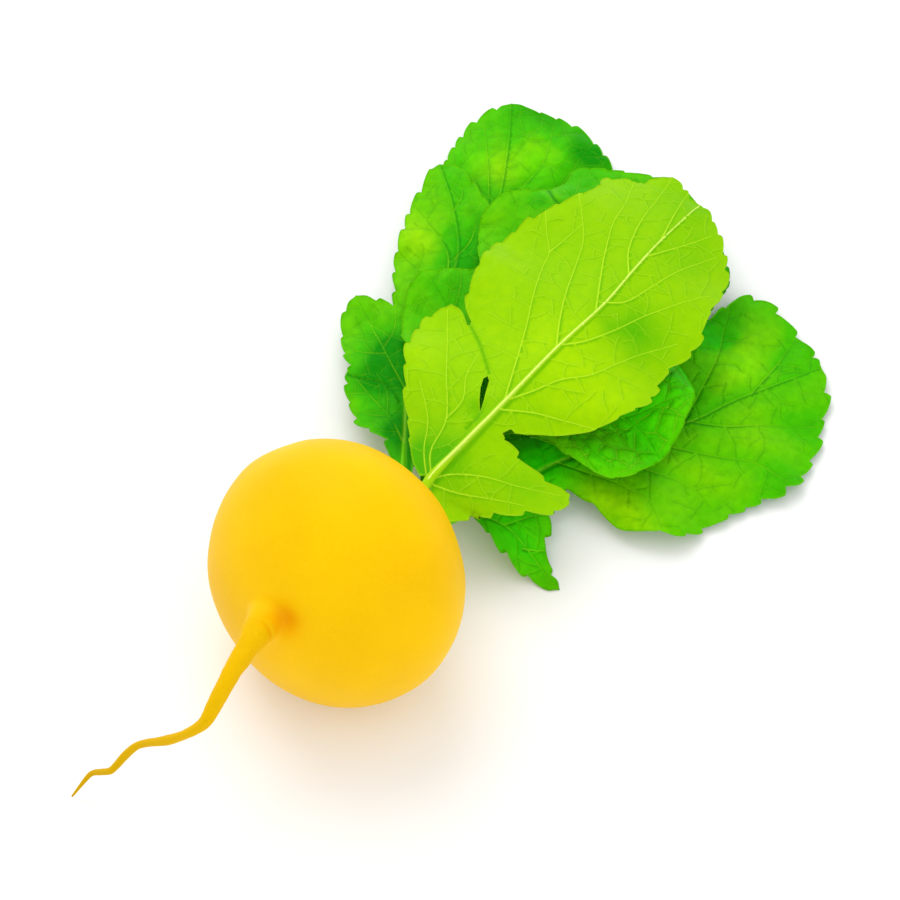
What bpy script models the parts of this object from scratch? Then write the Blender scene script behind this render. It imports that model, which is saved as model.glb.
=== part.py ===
"""A rutabaga pulled with its leaves, lying on its side: one root and five lobed leaves."""
import math
import random

import bmesh
import bpy
import numpy as np
from mathutils import Vector
from mathutils.geometry import delaunay_2d_cdt

MM = 0.001  # the sizes below are in millimetres, the objects in metres

# Bulb and neck
BULB_WIDTH = 84.0
BULB_LENGTH = 67.0
BULB_SPAN = (18.0, 161.0)  # degrees from the crown between which the bulb is a plain oval
CROWN_DIP = 23.0  # degrees that the crown points below the horizontal
REST_DEPTH = 1.0  # how far the bulb is flattened where it rests
NECK_RADIUS = 7.3
NECK_LENGTH = 3.0
# How far outside the neck's radius and above its end its rim lies, and the fold of skin that the taproot
# comes out of, as its radius and how far it stands out of the bulb
NECK_PROFILE = ((-0.9, 0.0), (-0.2, -0.5), (0.0, -1.3), (0.7, -2.4), (2.4, -3.4))
COLLAR_PROFILE = ((10.6, -0.1), (8.2, 0.9), (6.6, 2.0), (5.6, 3.2), (5.3, 4.1), (4.8, 4.6))
BULB_SIDES = 40
BULB_RINGS = 22
GROUND_SIZE = (60.0, 60.0, 20.0)

# Taproot: radii along its length, from the bulb to the tip
TAPROOT_RADII = (4.5, 4.3, 3.7, 3.1, 2.7, 2.5, 2.1, 1.6, 1.45, 1.55, 1.3, 1.2, 1.3, 1.1, 1.0, 0.7, 0.3)
TAPROOT_STEP = 3.0
TAPROOT_SUNK = 4.0  # how deep in the bulb the taproot starts

# Leaves
BLADE_THICKNESS = 0.7
BLADE_GRID = 7.0
STALK_RADIUS = 2.05
RIB_TIP_RADIUS = 0.42
RIB_TAPER = 0.75
RIB_STANDS_OUT = 0.55  # share of its radius that the rib's middle lies off the blade's
RIB_SETTLES = (4.0, 16.0)  # along the rib, where the round stalk passes into the blade
RIB_STEP = 5.5
STALK_RING = 4.65  # distance of the outer stalks from the middle one on the neck
STALK_GAP = 0.3
STRAIGHT_FOOT = 2.6  # the stalk stands square on the neck this far
TOOTH_WIDTH = (5.5, 11.0)
TOOTH_DEPTH = (0.7, 2.1)
TOOTH_SHAPE = ((0.0, 0.0), (0.45, 0.72), (0.88, 1.0))  # share of the width, of the depth
TEETH_START = (0.12, 0.35)  # shares of a margin's length between which the teeth grow in
TEETH_END = 4.0  # the teeth fade out this close to the tip
LOBE_BASE = 0.6  # share of its first half width that a lobe has at its very base
FLOOR_CLEARANCE = 0.39  # from the surface below to the middle of a blade that lies on it
LAYER_CLEARANCE = 1.7  # between the middles of two blades that lie on each other
LAYER_BLEND = 1.5
BARE_STALK = (12.0, 26.0)  # along the ribs, where blades start to lie on each other
FOLD_REACH = 30.0  # distance from the rib at which fall, curl and wave are given
WIDEST_WAVE = 1.2  # the wave grows no more beyond this many times that distance

# Each leaf: the rib in plan and height, the lobes, and the lie of the blade.
# A lobe runs from a share of the rib's length to a tip in plan, or along the rib to another share, and its
# half widths, left and right of its own axis, stand at the middles of equal shares of its length.
# Fall and curl bend the blade down on each side of the rib, the wave is (rise, length, phase in degrees) at
# the margin, a swell is (x, y, reach, rise), and teeth is how deep the leaf's teeth are, as a share.
LEAVES = {
    "leaf_back": {
        "rib": ((52, 6, 14.5), (75, 19, 9.5), (105, 36, 6.6), (135, 52, 5.6), (163, 66, 5.4),
                (184, 79, 4.4), (199, 90, 2.8)),
        "ring_angle": -90.0,
        "lobes": (
            {"from": 0.34, "to": 1.0, "left": (9, 17, 21, 23, 23, 21, 18.5, 11),
             "right": (9, 20, 27, 32, 35, 37, 35, 21)},
            {"from": 0.12, "to": 0.40, "left": (2, 4, 5, 5, 6), "right": (2, 4, 5, 5, 6)},
            {"from": 0.18, "tip": (84, 46), "left": (5, 7, 7, 6, 3), "right": (6, 8, 8, 7, 4)},
            {"from": 0.17, "tip": (92, 4), "left": (5, 7, 7, 6, 3), "right": (4, 6, 6, 5, 3)},
        ),
        "left": (1.5, 1.5), "right": (1.5, 1.5), "wave": (2.2, 38.0, 40.0),
        "swells": (),
        "above": (),
        "rib_side": -1.0,
        "teeth": 1.0,
        "seed": 11,
        "colour": (0.075, 0.54, 0.0, 1.0),
    },
    "leaf_right": {
        "rib": ((56, -7.5, 20), (74, -11.5, 16.5), (92, -15.5, 13), (113, -25.5, 9.5), (135, -37, 7),
                (150, -42, 5.8), (164, -48, 4.6), (181, -55.5, 3)),
        "ring_angle": 0.0,
        "lobes": (
            {"from": 0.40, "to": 1.0, "left": (10, 18, 25, 29.5, 31, 32, 32.5, 33, 35, 29.5),
             "right": (27, 33, 37, 35, 34, 34.5, 35.5, 31, 22.5, 10)},
            {"from": 0.12, "to": 0.46, "left": (3, 6, 8, 9, 8), "right": (3, 5, 7, 9, 14)},
            {"from": 0.20, "tip": (97, 3), "left": (7, 9, 9, 8, 5), "right": (6, 8, 8, 7, 4)},
            {"from": 0.14, "tip": (63, -42), "left": (6, 21, 18, 6, 2), "right": (2, 2, 2.5, 2.5, 1.5)},
        ),
        "left": (1.0, 1.0), "right": (2.0, 1.0), "wave": (2.6, 42.0, 200.0),
        "swells": ((63, -42, 15, -18),),
        "above": ("leaf_back",),
        "rib_side": -1.0,
        "teeth": 1.4,
        "seed": 23,
        "colour": (0.16, 0.62, 0.0, 1.0),
    },
    "leaf_left": {
        "rib": ((53, 14, 20.5), (69, 27, 16), (86, 40, 13), (109, 51, 11.5), (133, 59, 11), (149, 74, 10),
                (161, 90, 8)),
        "ring_angle": 180.0,
        "lobes": (
            {"from": 0.44, "to": 1.0, "left": (8, 10.5, 15, 19.5, 19.5, 17, 13, 4.5),
             "right": (8, 13, 16, 17, 16.5, 13.5, 10, 6)},
            {"from": 0.10, "to": 0.50, "left": (3, 5, 6, 6, 7), "right": (3, 4, 5, 6, 7)},
            {"from": 0.38, "tip": (102, 76), "left": (9, 12.5, 12.5, 10, 5.5), "right": (6, 8, 9, 10, 4)},
            {"from": 0.24, "tip": (77, 58), "left": (6, 7, 7.5, 5.5, 2), "right": (6, 8, 9.5, 6, 1.5)},
        ),
        "left": (2.5, 1.0), "right": (1.0, 1.0), "wave": (1.9, 30.0, 90.0),
        "swells": (),
        "above": ("leaf_back",),
        "rib_side": -1.0,
        "teeth": 1.0,
        "seed": 37,
        "colour": (0.12, 0.58, 0.0, 1.0),
    },
    "leaf_middle": {
        "rib": ((55, 2, 24), (75, 7, 23.5), (100, 13, 22.5), (125, 17, 21), (150, 20, 19.5), (175, 22, 17.5),
                (203, 24, 14)),
        "ring_angle": None,
        "lobes": (
            {"from": 0.36, "to": 1.0, "left": (6, 15, 22, 27, 31, 37.5, 42.5, 41, 31.5, 28, 28, 8),
             "right": (9, 22, 31, 36, 39, 40, 36, 19)},
            {"from": 0.12, "to": 0.42, "left": (2, 5, 6, 6, 8), "right": (2, 5, 6, 6, 8)},
            {"from": 0.25, "tip": (118, 62), "left": (5, 7, 8.5, 11, 6), "right": (5, 12, 17, 20, 20)},
            {"from": 0.28, "tip": (141, -34), "left": (5, 9, 12, 15, 17.5, 19, 20, 20, 19.5, 19, 18, 15),
             "right": (7, 8, 10, 14, 21, 26.5, 29, 28, 24.5, 19.5, 13.5, 6)},
        ),
        "left": (2.0, 1.0), "right": (3.0, 0.5), "wave": (2.3, 40.0, 0.0),
        "swells": (),
        "above": ("leaf_back", "leaf_right", "leaf_left"),
        "rib_side": -1.0,
        "teeth": 0.35,
        "seed": 41,
        "colour": (0.15, 0.56, 0.0, 1.0),
    },
    "leaf_top": {
        "rib": ((53, 3.6, 29.4), (70, 2.8, 32.6), (89, 2.0, 35), (114, 1.8, 36), (137, 1.2, 35),
                (154, 3, 33), (169, 4.5, 30.5), (188, 5.5, 26.5), (194, 6, 24.5)),
        "ring_angle": 90.0,
        "lobes": (
            {"from": 0.28, "to": 1.0, "left": (8, 20, 34.5, 40.5, 43.5, 44.5, 40.5, 34.5, 31, 29),
             "right": (14.5, 24.5, 29.5, 31, 28, 30, 27.5, 26, 21, 10)},
            {"from": 0.08, "to": 0.34, "left": (3, 4, 5, 6, 6), "right": (4, 6, 6, 6, 6)},
            {"from": 0.10, "tip": (109, 41), "left": (7.5, 9.5, 11.5, 12, 8), "right": (8, 11, 13, 11, 4.5)},
            {"from": 0.09, "tip": (82, -30), "left": (13, 15, 13, 5, 1), "right": (13.5, 10, 10, 9, 7)},
            {"from": 0.80, "tip": (196, 24), "left": (8, 12, 12, 9, 5.5), "right": (4, 7, 9, 9, 7)},
        ),
        "left": (2.5, 1.0), "right": (5.0, 1.5), "wave": (2.2, 44.0, 130.0),
        "swells": ((82, -30, 14, -4),),
        "above": ("leaf_back", "leaf_right", "leaf_left", "leaf_middle"),
        "rib_side": 1.0,
        "teeth": 0.9,
        "seed": 5,
        "colour": (0.33, 0.68, 0.0, 1.0),
    },
}
ROOT_COLOUR = (0.96, 0.55, 0.0, 1.0)
ROOT_ROUGHNESS = 0.42
LEAF_ROUGHNESS = 0.5
SMOOTH_ANGLE = 50.0  # edges sharper than this many degrees stay sharp

# Where the bulb lies: the flat spot's middle is the origin
DIP = math.radians(CROWN_DIP)
CROWN_AXIS = np.array((math.cos(DIP), 0.0, -math.sin(DIP)))
CROWN_UP = np.array((math.sin(DIP), 0.0, math.cos(DIP)))
CROWN_LEFT = np.array((0.0, 1.0, 0.0))
GIRTH, POLE = BULB_WIDTH / 2, BULB_LENGTH / 2
REACH_DOWN = math.hypot(GIRTH * math.cos(DIP), POLE * math.sin(DIP))
LEAN = (GIRTH ** 2 - POLE ** 2) * math.sin(DIP) * math.cos(DIP) / REACH_DOWN
BULB_CENTRE = np.array((LEAN, 0.0, REACH_DOWN - REST_DEPTH))
NECK_END = BULB_CENTRE + (POLE + NECK_LENGTH) * CROWN_AXIS

# Taproot: leaves the bulb along its axis, then bends down to the surface it lies over
TAPROOT_START = BULB_CENTRE - (POLE - TAPROOT_SUNK) * CROWN_AXIS
TAPROOT_PATH = ((-28.0, -0.6, 54.2), (-35.5, -2.6, 56.2), (-48.4, -5, 54), (-55.4, -6, 50), (-60.4, -6, 46),
                (-64.4, -2, 40), (-67.4, 4, 33), (-69.4, 10, 27), (-71.4, 13, 24), (-74.4, 15, 20),
                (-77.4, 16, 17), (-79.4, 17, 15), (-80.4, 20, 12), (-81.4, 23, 9), (-83.4, 24, 7),
                (-89.4, 25, 2.5))


def clear_scene():
    for obj in list(bpy.data.objects):
        bpy.data.objects.remove(obj, do_unlink=True)
    for collection in list(bpy.data.collections):
        bpy.data.collections.remove(collection)


def new_collection(name):
    collection = bpy.data.collections.new(name)
    bpy.context.scene.collection.children.link(collection)
    return collection


def material(name, colour, roughness):
    mat = bpy.data.materials.new(name)
    mat.use_nodes = True
    mat.diffuse_color = colour
    shader = mat.node_tree.nodes["Principled BSDF"]
    shader.inputs["Base Color"].default_value = colour
    shader.inputs["Roughness"].default_value = roughness
    shader.inputs["Metallic"].default_value = 0.0
    return mat


def smooth_path(points, step):
    """Points about `step` apart on a smooth curve through the given points."""
    points = np.array(points, float)
    ends = np.vstack((2 * points[0] - points[1], points, 2 * points[-1] - points[-2]))
    t = np.linspace(0.0, 1.0, 24, endpoint=False)[:, None]
    dense = []
    for before, start, end, after in zip(ends, ends[1:], ends[2:], ends[3:]):
        bend = 2 * before - 5 * start + 4 * end - after
        dense.append(0.5 * (2 * start + (end - before) * t + bend * t ** 2
                            + (3 * start - before - 3 * end + after) * t ** 3))
    dense = np.vstack(dense + [points[-1:]])
    along = run_length(dense)
    count = max(int(round(along[-1] / step)), 2)
    even = np.linspace(0.0, along[-1], count + 1)
    return np.column_stack([np.interp(even, along, dense[:, i]) for i in range(dense.shape[1])])


def run_length(path):
    return np.concatenate(([0.0], np.cumsum(np.linalg.norm(np.diff(path, axis=0), axis=1))))


def part_of_path(path, start, end, count=24):
    """The stretch of a path between two shares of its length."""
    along = run_length(path) / run_length(path)[-1]
    shares = np.linspace(start, end, count)
    return np.column_stack([np.interp(shares, along, path[:, i]) for i in range(path.shape[1])])


def stalk_foot(leaf):
    """Where a leaf's stalk starts on the neck: in the middle, or on the ring round it."""
    foot = NECK_END + STALK_GAP * CROWN_AXIS
    if leaf["ring_angle"] is None:
        return foot
    turn = math.radians(leaf["ring_angle"])
    return foot + STALK_RING * (math.cos(turn) * -CROWN_LEFT + math.sin(turn) * CROWN_UP)


def rib_path(leaf):
    foot = stalk_foot(leaf)
    return np.vstack((foot, smooth_path((foot + STRAIGHT_FOOT * CROWN_AXIS,) + leaf["rib"], RIB_STEP)))


def nearest_on_rib(rib, plan):
    """Height of the rib beside each plan point, its distance along the rib, and how far left of it."""
    start, step = rib[:-1, :2], np.diff(rib[:, :2], axis=0)
    offset = plan[:, None, :] - start[None, :, :]
    share = np.clip((offset * step).sum(2) / (step ** 2).sum(1), 0.0, 1.0)
    away = offset - share[..., None] * step
    distance = np.linalg.norm(away, axis=2)
    index = distance.argmin(axis=1)
    rows = np.arange(len(plan))
    share = share[rows, index]
    height = rib[index, 2] + share * np.diff(rib[:, 2])[index]
    along = run_length(rib[:, :2])[index] + share * np.linalg.norm(step, axis=1)[index]
    cross = step[index, 0] * offset[rows, index, 1] - step[index, 1] * offset[rows, index, 0]
    return height, along, np.sign(cross) * distance[rows, index]


def soft_max(a, b, blend):
    overlap = np.clip(blend - np.abs(a - b), 0.0, None) / blend
    return np.maximum(a, b) + overlap ** 2 * blend / 4


def smooth_step(value, low, high):
    share = np.clip((value - low) / (high - low), 0.0, 1.0)
    return share * share * (3 - 2 * share)


def blade_height(name, plan):
    """Height of a blade's middle at plan points: its own lie, kept above the floor and the blades below."""
    leaf = LEAVES[name]
    height, along, side = nearest_on_rib(rib_path(leaf), plan)
    reach = np.abs(side) / FOLD_REACH
    fall = np.where(side > 0, leaf["left"][0], leaf["right"][0])
    curl = np.where(side > 0, leaf["left"][1], leaf["right"][1])
    rise, length, phase = leaf["wave"]
    turn = 2 * math.pi * along / length + math.radians(phase) * np.sign(side)
    height = height - fall * reach - curl * reach ** 2
    height += rise * np.minimum(reach, WIDEST_WAVE) ** 1.5 * np.sin(turn)
    for x, y, spread, rise in leaf["swells"]:
        away = ((plan - (x, y)) ** 2).sum(1)
        height = height + rise * np.exp(-away / (2 * spread ** 2))
    held = soft_max(height, FLOOR_CLEARANCE, LAYER_BLEND)
    for lower in leaf["above"]:
        _, lower_along, _ = nearest_on_rib(rib_path(LEAVES[lower]), plan)
        lifted = soft_max(held, blade_height(lower, plan) + LAYER_CLEARANCE, LAYER_BLEND)
        held += smooth_step(lower_along, *BARE_STALK) * (lifted - held)
    return height + smooth_step(along, *BARE_STALK) * (held - height)


def toothed_side(axis, widths, side, teeth, rng):
    """One margin of a lobe from its base to its tip, with teeth that lean towards the tip."""
    along = run_length(axis)
    shares = [0.0] + [(i + 0.5) / len(widths) for i in range(len(widths))] + [1.0]
    half = (widths[0] * LOBE_BASE,) + widths + (0.0,)
    tangent = np.gradient(axis, axis=0)
    normal = np.column_stack((-tangent[:, 1], tangent[:, 0])) / np.linalg.norm(tangent, axis=1)[:, None]
    corners = []
    for share, width in zip(shares, half):
        at = share * along[-1]
        place = np.array([np.interp(at, along, axis[:, i]) for i in range(2)])
        out = np.array([np.interp(at, along, normal[:, i]) for i in range(2)])
        corners.append(place + side * width * out)
    margin = smooth_path(corners, 0.5)
    length = run_length(margin)
    tangent = np.gradient(margin, axis=0)
    outward = side * np.column_stack((-tangent[:, 1], tangent[:, 0]))
    outward /= np.linalg.norm(outward, axis=1)[:, None]
    at, places, depths = 0.0, [], []
    while at < length[-1] - TOOTH_WIDTH[0] * 0.6:
        width = min(rng.uniform(*TOOTH_WIDTH), length[-1] - at)
        depth = teeth * rng.uniform(*TOOTH_DEPTH)
        for share, rise in TOOTH_SHAPE:
            places.append(at + share * width)
            depths.append(rise * depth)
        at += width
    places, depths = np.array(places), np.array(depths)
    depths *= smooth_step(places / length[-1], *TEETH_START)
    depths *= smooth_step(length[-1] - places, 0.0, TEETH_END)
    point = np.column_stack([np.interp(places, length, margin[:, i]) for i in range(2)])
    out = np.column_stack([np.interp(places, length, outward[:, i]) for i in range(2)])
    return point + depths[:, None] * out


def lobe_outline(rib, lobe, teeth, rng):
    if "tip" in lobe:
        start = part_of_path(rib, lobe["from"], 1.0, 2)[0, :2]
        axis = start + np.linspace(0.0, 1.0, 24)[:, None] * (np.array(lobe["tip"]) - start)
    else:
        axis = part_of_path(rib, lobe["from"], lobe["to"])[:, :2]
    left = toothed_side(axis, lobe["left"], 1.0, teeth, rng)
    right = toothed_side(axis, lobe["right"], -1.0, teeth, rng)
    tip = axis[-1:]
    return np.vstack((right, tip, left[::-1]))


def inside(polygon, plan):
    """Which plan points lie inside a closed polygon."""
    within = np.zeros(len(plan), bool)
    x, y = plan[:, 0], plan[:, 1]
    for (x1, y1), (x2, y2) in zip(polygon, np.roll(polygon, -1, axis=0)):
        crosses = (y1 > y) != (y2 > y)
        if y1 != y2:
            within ^= crosses & (x < (x2 - x1) * (y - y1) / (y2 - y1) + x1)
    return within


def plan_mesh(outlines, rib, spacing):
    """Triangles that fill the union of the outlines, with an edge all along the rib."""
    fixed = np.vstack(outlines + [rib])
    low, high = fixed.min(0), fixed.max(0)
    rows = np.arange(low[1], high[1], spacing * math.sqrt(0.75))
    grid = [(x + (spacing / 2 if i % 2 else 0.0), y)
            for i, y in enumerate(rows) for x in np.arange(low[0], high[0], spacing)]
    grid = np.array(grid)
    grid = grid[np.any([inside(outline, grid) for outline in outlines], axis=0)]
    gap = np.linalg.norm(grid[:, None, :] - fixed[None, :, :], axis=2).min(1)
    grid = grid[gap > spacing * 0.5]
    points = [Vector(p) for p in np.vstack((fixed, grid))]
    faces, first = [], 0
    for outline in outlines:
        faces.append(list(range(first, first + len(outline))))
        first += len(outline)
    edges = [(first + i, first + i + 1) for i in range(len(rib) - 1)]
    places, _, triangles, _, _, sources = delaunay_2d_cdt(points, edges, faces, 0, 1e-4, True)
    kept = [tri for tri, source in zip(triangles, sources) if source]
    return np.array([tuple(p) for p in places]), kept


def sheet_object(name, places, heights, triangles, collection):
    bm = bmesh.new()
    verts = [bm.verts.new((x * MM, y * MM, z * MM)) for (x, y), z in zip(places, heights)]
    for tri in triangles:
        bm.faces.new([verts[i] for i in tri])
    bmesh.ops.delete(bm, geom=[v for v in bm.verts if not v.link_faces], context="VERTS")
    bmesh.ops.recalc_face_normals(bm, faces=bm.faces)
    if sum(face.normal.z for face in bm.faces) < 0:
        bmesh.ops.reverse_faces(bm, faces=bm.faces)
    mesh = bpy.data.meshes.new(name)
    bm.to_mesh(mesh)
    bm.free()
    obj = bpy.data.objects.new(name, mesh)
    collection.objects.link(obj)
    return obj


def tube_object(name, path, radii, resolution, collection):
    """A bevelled curve with capped ends, as a welded mesh."""
    curve = bpy.data.curves.new(name, "CURVE")
    curve.dimensions = "3D"
    curve.bevel_depth = MM
    curve.bevel_resolution = resolution
    curve.use_fill_caps = True
    spline = curve.splines.new("POLY")
    spline.points.add(len(path) - 1)
    for point, place, radius in zip(spline.points, path, radii):
        point.co = (*(np.array(place) * MM), 1.0)
        point.radius = radius
    guide = bpy.data.objects.new(name + "_path", curve)
    collection.objects.link(guide)
    mesh = bpy.data.meshes.new_from_object(guide.evaluated_get(bpy.context.evaluated_depsgraph_get()))
    bpy.data.objects.remove(guide, do_unlink=True)
    bm = bmesh.new()
    bm.from_mesh(mesh)
    bmesh.ops.remove_doubles(bm, verts=bm.verts, dist=1e-6)
    bmesh.ops.recalc_face_normals(bm, faces=bm.faces)
    bm.to_mesh(mesh)
    bm.free()
    mesh.name = name
    obj = bpy.data.objects.new(name, mesh)
    collection.objects.link(obj)
    return obj


def boolean(obj, other, operation):
    modifier = obj.modifiers.new(operation.lower(), "BOOLEAN")
    modifier.object = other
    modifier.operation = operation
    modifier.solver = "EXACT"


def shade(obj, angle):
    obj.data.shade_smooth()
    obj.data.set_sharp_from_angle(angle=math.radians(angle))


def bulb_profile():
    """Radius and height of the bulb's outer side, from the neck down to the taproot's collar."""
    top = POLE + NECK_LENGTH
    points = [(0.0, top)] + [(NECK_RADIUS + out, top + up) for out, up in NECK_PROFILE]
    for turn in np.radians(np.linspace(*BULB_SPAN, BULB_RINGS + 1)):
        points.append((GIRTH * math.sin(turn), POLE * math.cos(turn)))
    points += [(radius, -POLE - beyond) for radius, beyond in COLLAR_PROFILE]
    points.append((0.0, points[-1][1]))
    return points


def build_root(parts, cutters):
    places = [(x * MM, 0.0, z * MM) for x, z in bulb_profile()]
    mesh = bpy.data.meshes.new("root")
    mesh.from_pydata(places, [(i, i + 1) for i in range(len(places) - 1)], [])
    root = bpy.data.objects.new("root", mesh)
    parts.objects.link(root)
    screw = root.modifiers.new("turned", "SCREW")
    screw.steps = screw.render_steps = BULB_SIDES
    screw.use_merge_vertices = True
    screw.merge_threshold = 0.00001
    root.rotation_euler = (0.0, math.pi / 2 + DIP, 0.0)
    root.location = BULB_CENTRE * MM
    bpy.context.view_layer.update()

    path = smooth_path((TAPROOT_START,) + TAPROOT_PATH, TAPROOT_STEP)
    shares = run_length(path) / run_length(path)[-1]
    radii = np.interp(shares, np.linspace(0.0, 1.0, len(TAPROOT_RADII)), TAPROOT_RADII)
    taproot = tube_object("taproot", path, radii, 3, cutters)
    boolean(root, taproot, "UNION")

    bpy.ops.mesh.primitive_cube_add(size=1.0, location=(0.0, 0.0, -GROUND_SIZE[2] / 2 * MM))
    ground = bpy.context.object
    ground.name = "ground_cutter"
    ground.scale = [side * MM for side in GROUND_SIZE]
    for collection in list(ground.users_collection):
        collection.objects.unlink(ground)
    cutters.objects.link(ground)
    boolean(root, ground, "DIFFERENCE")
    for helper in (taproot, ground):
        helper.hide_render = True
        helper.display_type = "WIRE"
    root.data.materials.append(material("yellow_skin", ROOT_COLOUR, ROOT_ROUGHNESS))


def build_leaf(name, leaf, parts, cutters):
    rng = random.Random(leaf["seed"])
    rib = rib_path(leaf)
    outlines = [lobe_outline(rib, lobe, leaf["teeth"], rng) for lobe in leaf["lobes"]]
    bladed = rib[run_length(rib) > BARE_STALK[0]]
    places, triangles = plan_mesh(outlines, bladed[:, :2], BLADE_GRID)
    obj = sheet_object(name, places, blade_height(name, places), triangles, parts)
    solidify = obj.modifiers.new("blade", "SOLIDIFY")
    solidify.thickness = BLADE_THICKNESS * MM
    solidify.offset = 0.0

    along = run_length(rib)
    radii = STALK_RADIUS + (RIB_TIP_RADIUS - STALK_RADIUS) * (along / along[-1]) ** RIB_TAPER
    line = rib.copy()
    settled = smooth_step(along, *RIB_SETTLES)
    line[:, 2] = blade_height(name, rib[:, :2]) + leaf["rib_side"] * settled * radii * RIB_STANDS_OUT
    tube = tube_object(name + "_rib", line[:-1], radii[:-1], 1, cutters)
    boolean(obj, tube, "UNION")
    tube.hide_render = True
    tube.display_type = "WIRE"
    obj.data.materials.append(material(name + "_blade", leaf["colour"], LEAF_ROUGHNESS))


def build():
    clear_scene()
    parts = new_collection("rutabaga")
    cutters = new_collection("cutters_and_guides")
    build_root(parts, cutters)
    for name, leaf in LEAVES.items():
        build_leaf(name, leaf, parts, cutters)
    for obj in parts.objects:
        shade(obj, SMOOTH_ANGLE)


build()
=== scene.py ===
# Rutabaga pulled with its leaves, lying on its side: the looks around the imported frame
import math
import random

import bpy
import numpy as np
from mathutils import Matrix, Vector, noise
from mathutils.geometry import delaunay_2d_cdt
from mathutils.kdtree import KDTree


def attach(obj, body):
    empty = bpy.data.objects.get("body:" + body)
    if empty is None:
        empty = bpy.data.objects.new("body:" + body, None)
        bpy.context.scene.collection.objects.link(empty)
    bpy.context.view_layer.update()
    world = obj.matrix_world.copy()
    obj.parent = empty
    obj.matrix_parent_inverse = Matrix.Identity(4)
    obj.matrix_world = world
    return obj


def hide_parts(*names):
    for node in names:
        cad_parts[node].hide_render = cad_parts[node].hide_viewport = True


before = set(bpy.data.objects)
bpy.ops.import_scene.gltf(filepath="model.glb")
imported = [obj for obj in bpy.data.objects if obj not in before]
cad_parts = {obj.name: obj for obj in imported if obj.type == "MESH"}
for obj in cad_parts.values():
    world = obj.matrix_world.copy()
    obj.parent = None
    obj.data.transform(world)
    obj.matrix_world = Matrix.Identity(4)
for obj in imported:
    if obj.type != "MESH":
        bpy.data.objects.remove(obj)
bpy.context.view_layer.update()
mm = 0.001  # sizes below are in millimetres unless a note says otherwise
print("frame loaded:", ", ".join(sorted(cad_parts)))

# The root: its own sizes, the same as the frame's
root = {
    "bulbWidth": 84.0,
    "bulbLength": 67.0,
    "crownDip": 23.0,  # degrees
    "restDepth": 1.0,
    "neckLength": 3.0,
    "neck": ((0.0, 0.25), (3.0, 0.2), (5.6, 0.0), (6.9, -0.7), (7.3, -1.6), (8.2, -2.6), (10.2, -3.7)),
    "collar": ((9.8, -0.8), (7.2, 0.0), (5.9, 1.2), (5.2, 3.0), (4.8, 5.2)),  # radius, and reach out of the bulb
    "taprootStart": (-28.0, -0.6, 54.2),
    "taproot": ((-35.5, -2.6, 56.2), (-48.4, -5, 54), (-55.4, -6, 50), (-60.4, -6, 46), (-64.4, -2, 40),
                (-67.4, 4, 33), (-69.4, 10, 27), (-71.4, 13, 24), (-74.4, 15, 20), (-77.4, 16, 17),
                (-79.4, 17, 15), (-80.4, 20, 12), (-81.4, 23, 9), (-83.4, 24, 7), (-89.4, 25, 2.5)),
    "taprootRadii": (4.5, 4.3, 3.7, 3.1, 2.7, 2.5, 2.1, 1.6, 1.45, 1.55, 1.3, 1.2, 1.3, 1.1, 1.0, 0.7, 0.3),
    "sunk": 4.0,  # the taproot's path starts this deep in the bulb
    "sides": 144,
    "ringStep": 0.85,
    "taprootStep": 0.45,
    "hollow": (-23.6, -5.4, 56.8),  # the dent beside the taproot
    "hollowReach": 3.2,
    "hollowDepth": 1.5,
    "foldHeight": 0.42,
    "foldSide": (-0.2, -0.85, -0.3),  # the fold of skin round the taproot is strongest on this side
    "lumps": ((19.0, 0.55), (7.0, 0.1)),  # the bulb's unevenness: its size and its height
    "kinks": ((5.2, 0.16), (2.1, 0.06)),  # the same for the taproot, in its radii
    "wrinkle": 0.06,
}

# The blades: what all leaves share. The margin's numbers are the frame's, so that each tooth falls on its own
blade = {
    "thickness": 0.42,
    "edgeThickness": 0.22,
    "grid": 0.95,
    "stalkRadius": 2.05,
    "ribTipRadius": 0.2,
    "ribTaper": 0.5,
    "outlineStep": 0.6,
    "patchStep": 9.0,  # unevenness of the patches' outlines: its size and its reach
    "patchBend": 4.0,
    "quiltShade": 0.2,  # painted light and shade of the quilt: how much brighter a leaf is between its side veins than beside them
    "frameRibStep": 5.5,
    "fineRibStep": 1.8,
    "stalkRing": 4.65,
    "stalkGap": 0.3,
    "straightFoot": 2.6,
    "toothWidth": (5.5, 11.0),
    "toothDepth": (0.7, 2.1),
    "teethStart": (0.12, 0.35),
    "teethEnd": 4.0,
    "lobeBase": 0.6,
    "floorClearance": 0.39,
    "layerClearance": 1.7,
    "layerBlend": 1.5,
    "bareStalk": (12.0, 26.0),
    "foldReach": 30.0,
    "widestWave": 1.2,
    "quiltReach": 5.5,  # distance from a side vein at which the blade stands full height
    "cell": 6.5,  # mesh size of the fine net of veins
    "netBend": 2.0,
    "bendStep": 6.7,
    "fineCell": 2.1,
    "fineBend": 0.8,
    "crimp": 0.9,
    "ribTall": (1.35, 1.0),  # height of the midrib in its radii, at the stalk and further out
    "veinTall": 0.9,
    "sideVein": (0.26, 0.09),  # radius at the rib and at the margin
    "branchVein": (0.2, 0.09),
    "fineVein": 0.11,
    "fineStart": (3.8, 6.6),  # distance along a vein between the fine veins that leave it
    "fineLength": (5.0, 15.0),
    "fineAngle": (48.0, 78.0),  # degrees from the vein that they leave
    "fineWander": 9.0,  # degrees that they turn at most in each step of half a millimetre
    "finePale": 0.3,  # how clearly their pale line and the painted shade on their flank show, next to a side vein's
    "fineFlankShade": 0.4,
    "veinFade": 0.5,  # how much a side vein fades towards the margin
    "toothSteps": (0.0, 0.1, 0.22, 0.34, 0.46, 0.58, 0.7, 0.8, 0.88, 0.94),
    "toothCrest": 0.88,
    "stalkFade": 0.45,
    "stalkLength": 34.0,
    "shadeSide": (0.15, -1.0),  # the side of a vein, in plan, whose flank gets painted shade, away from the lamp
}
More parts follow.
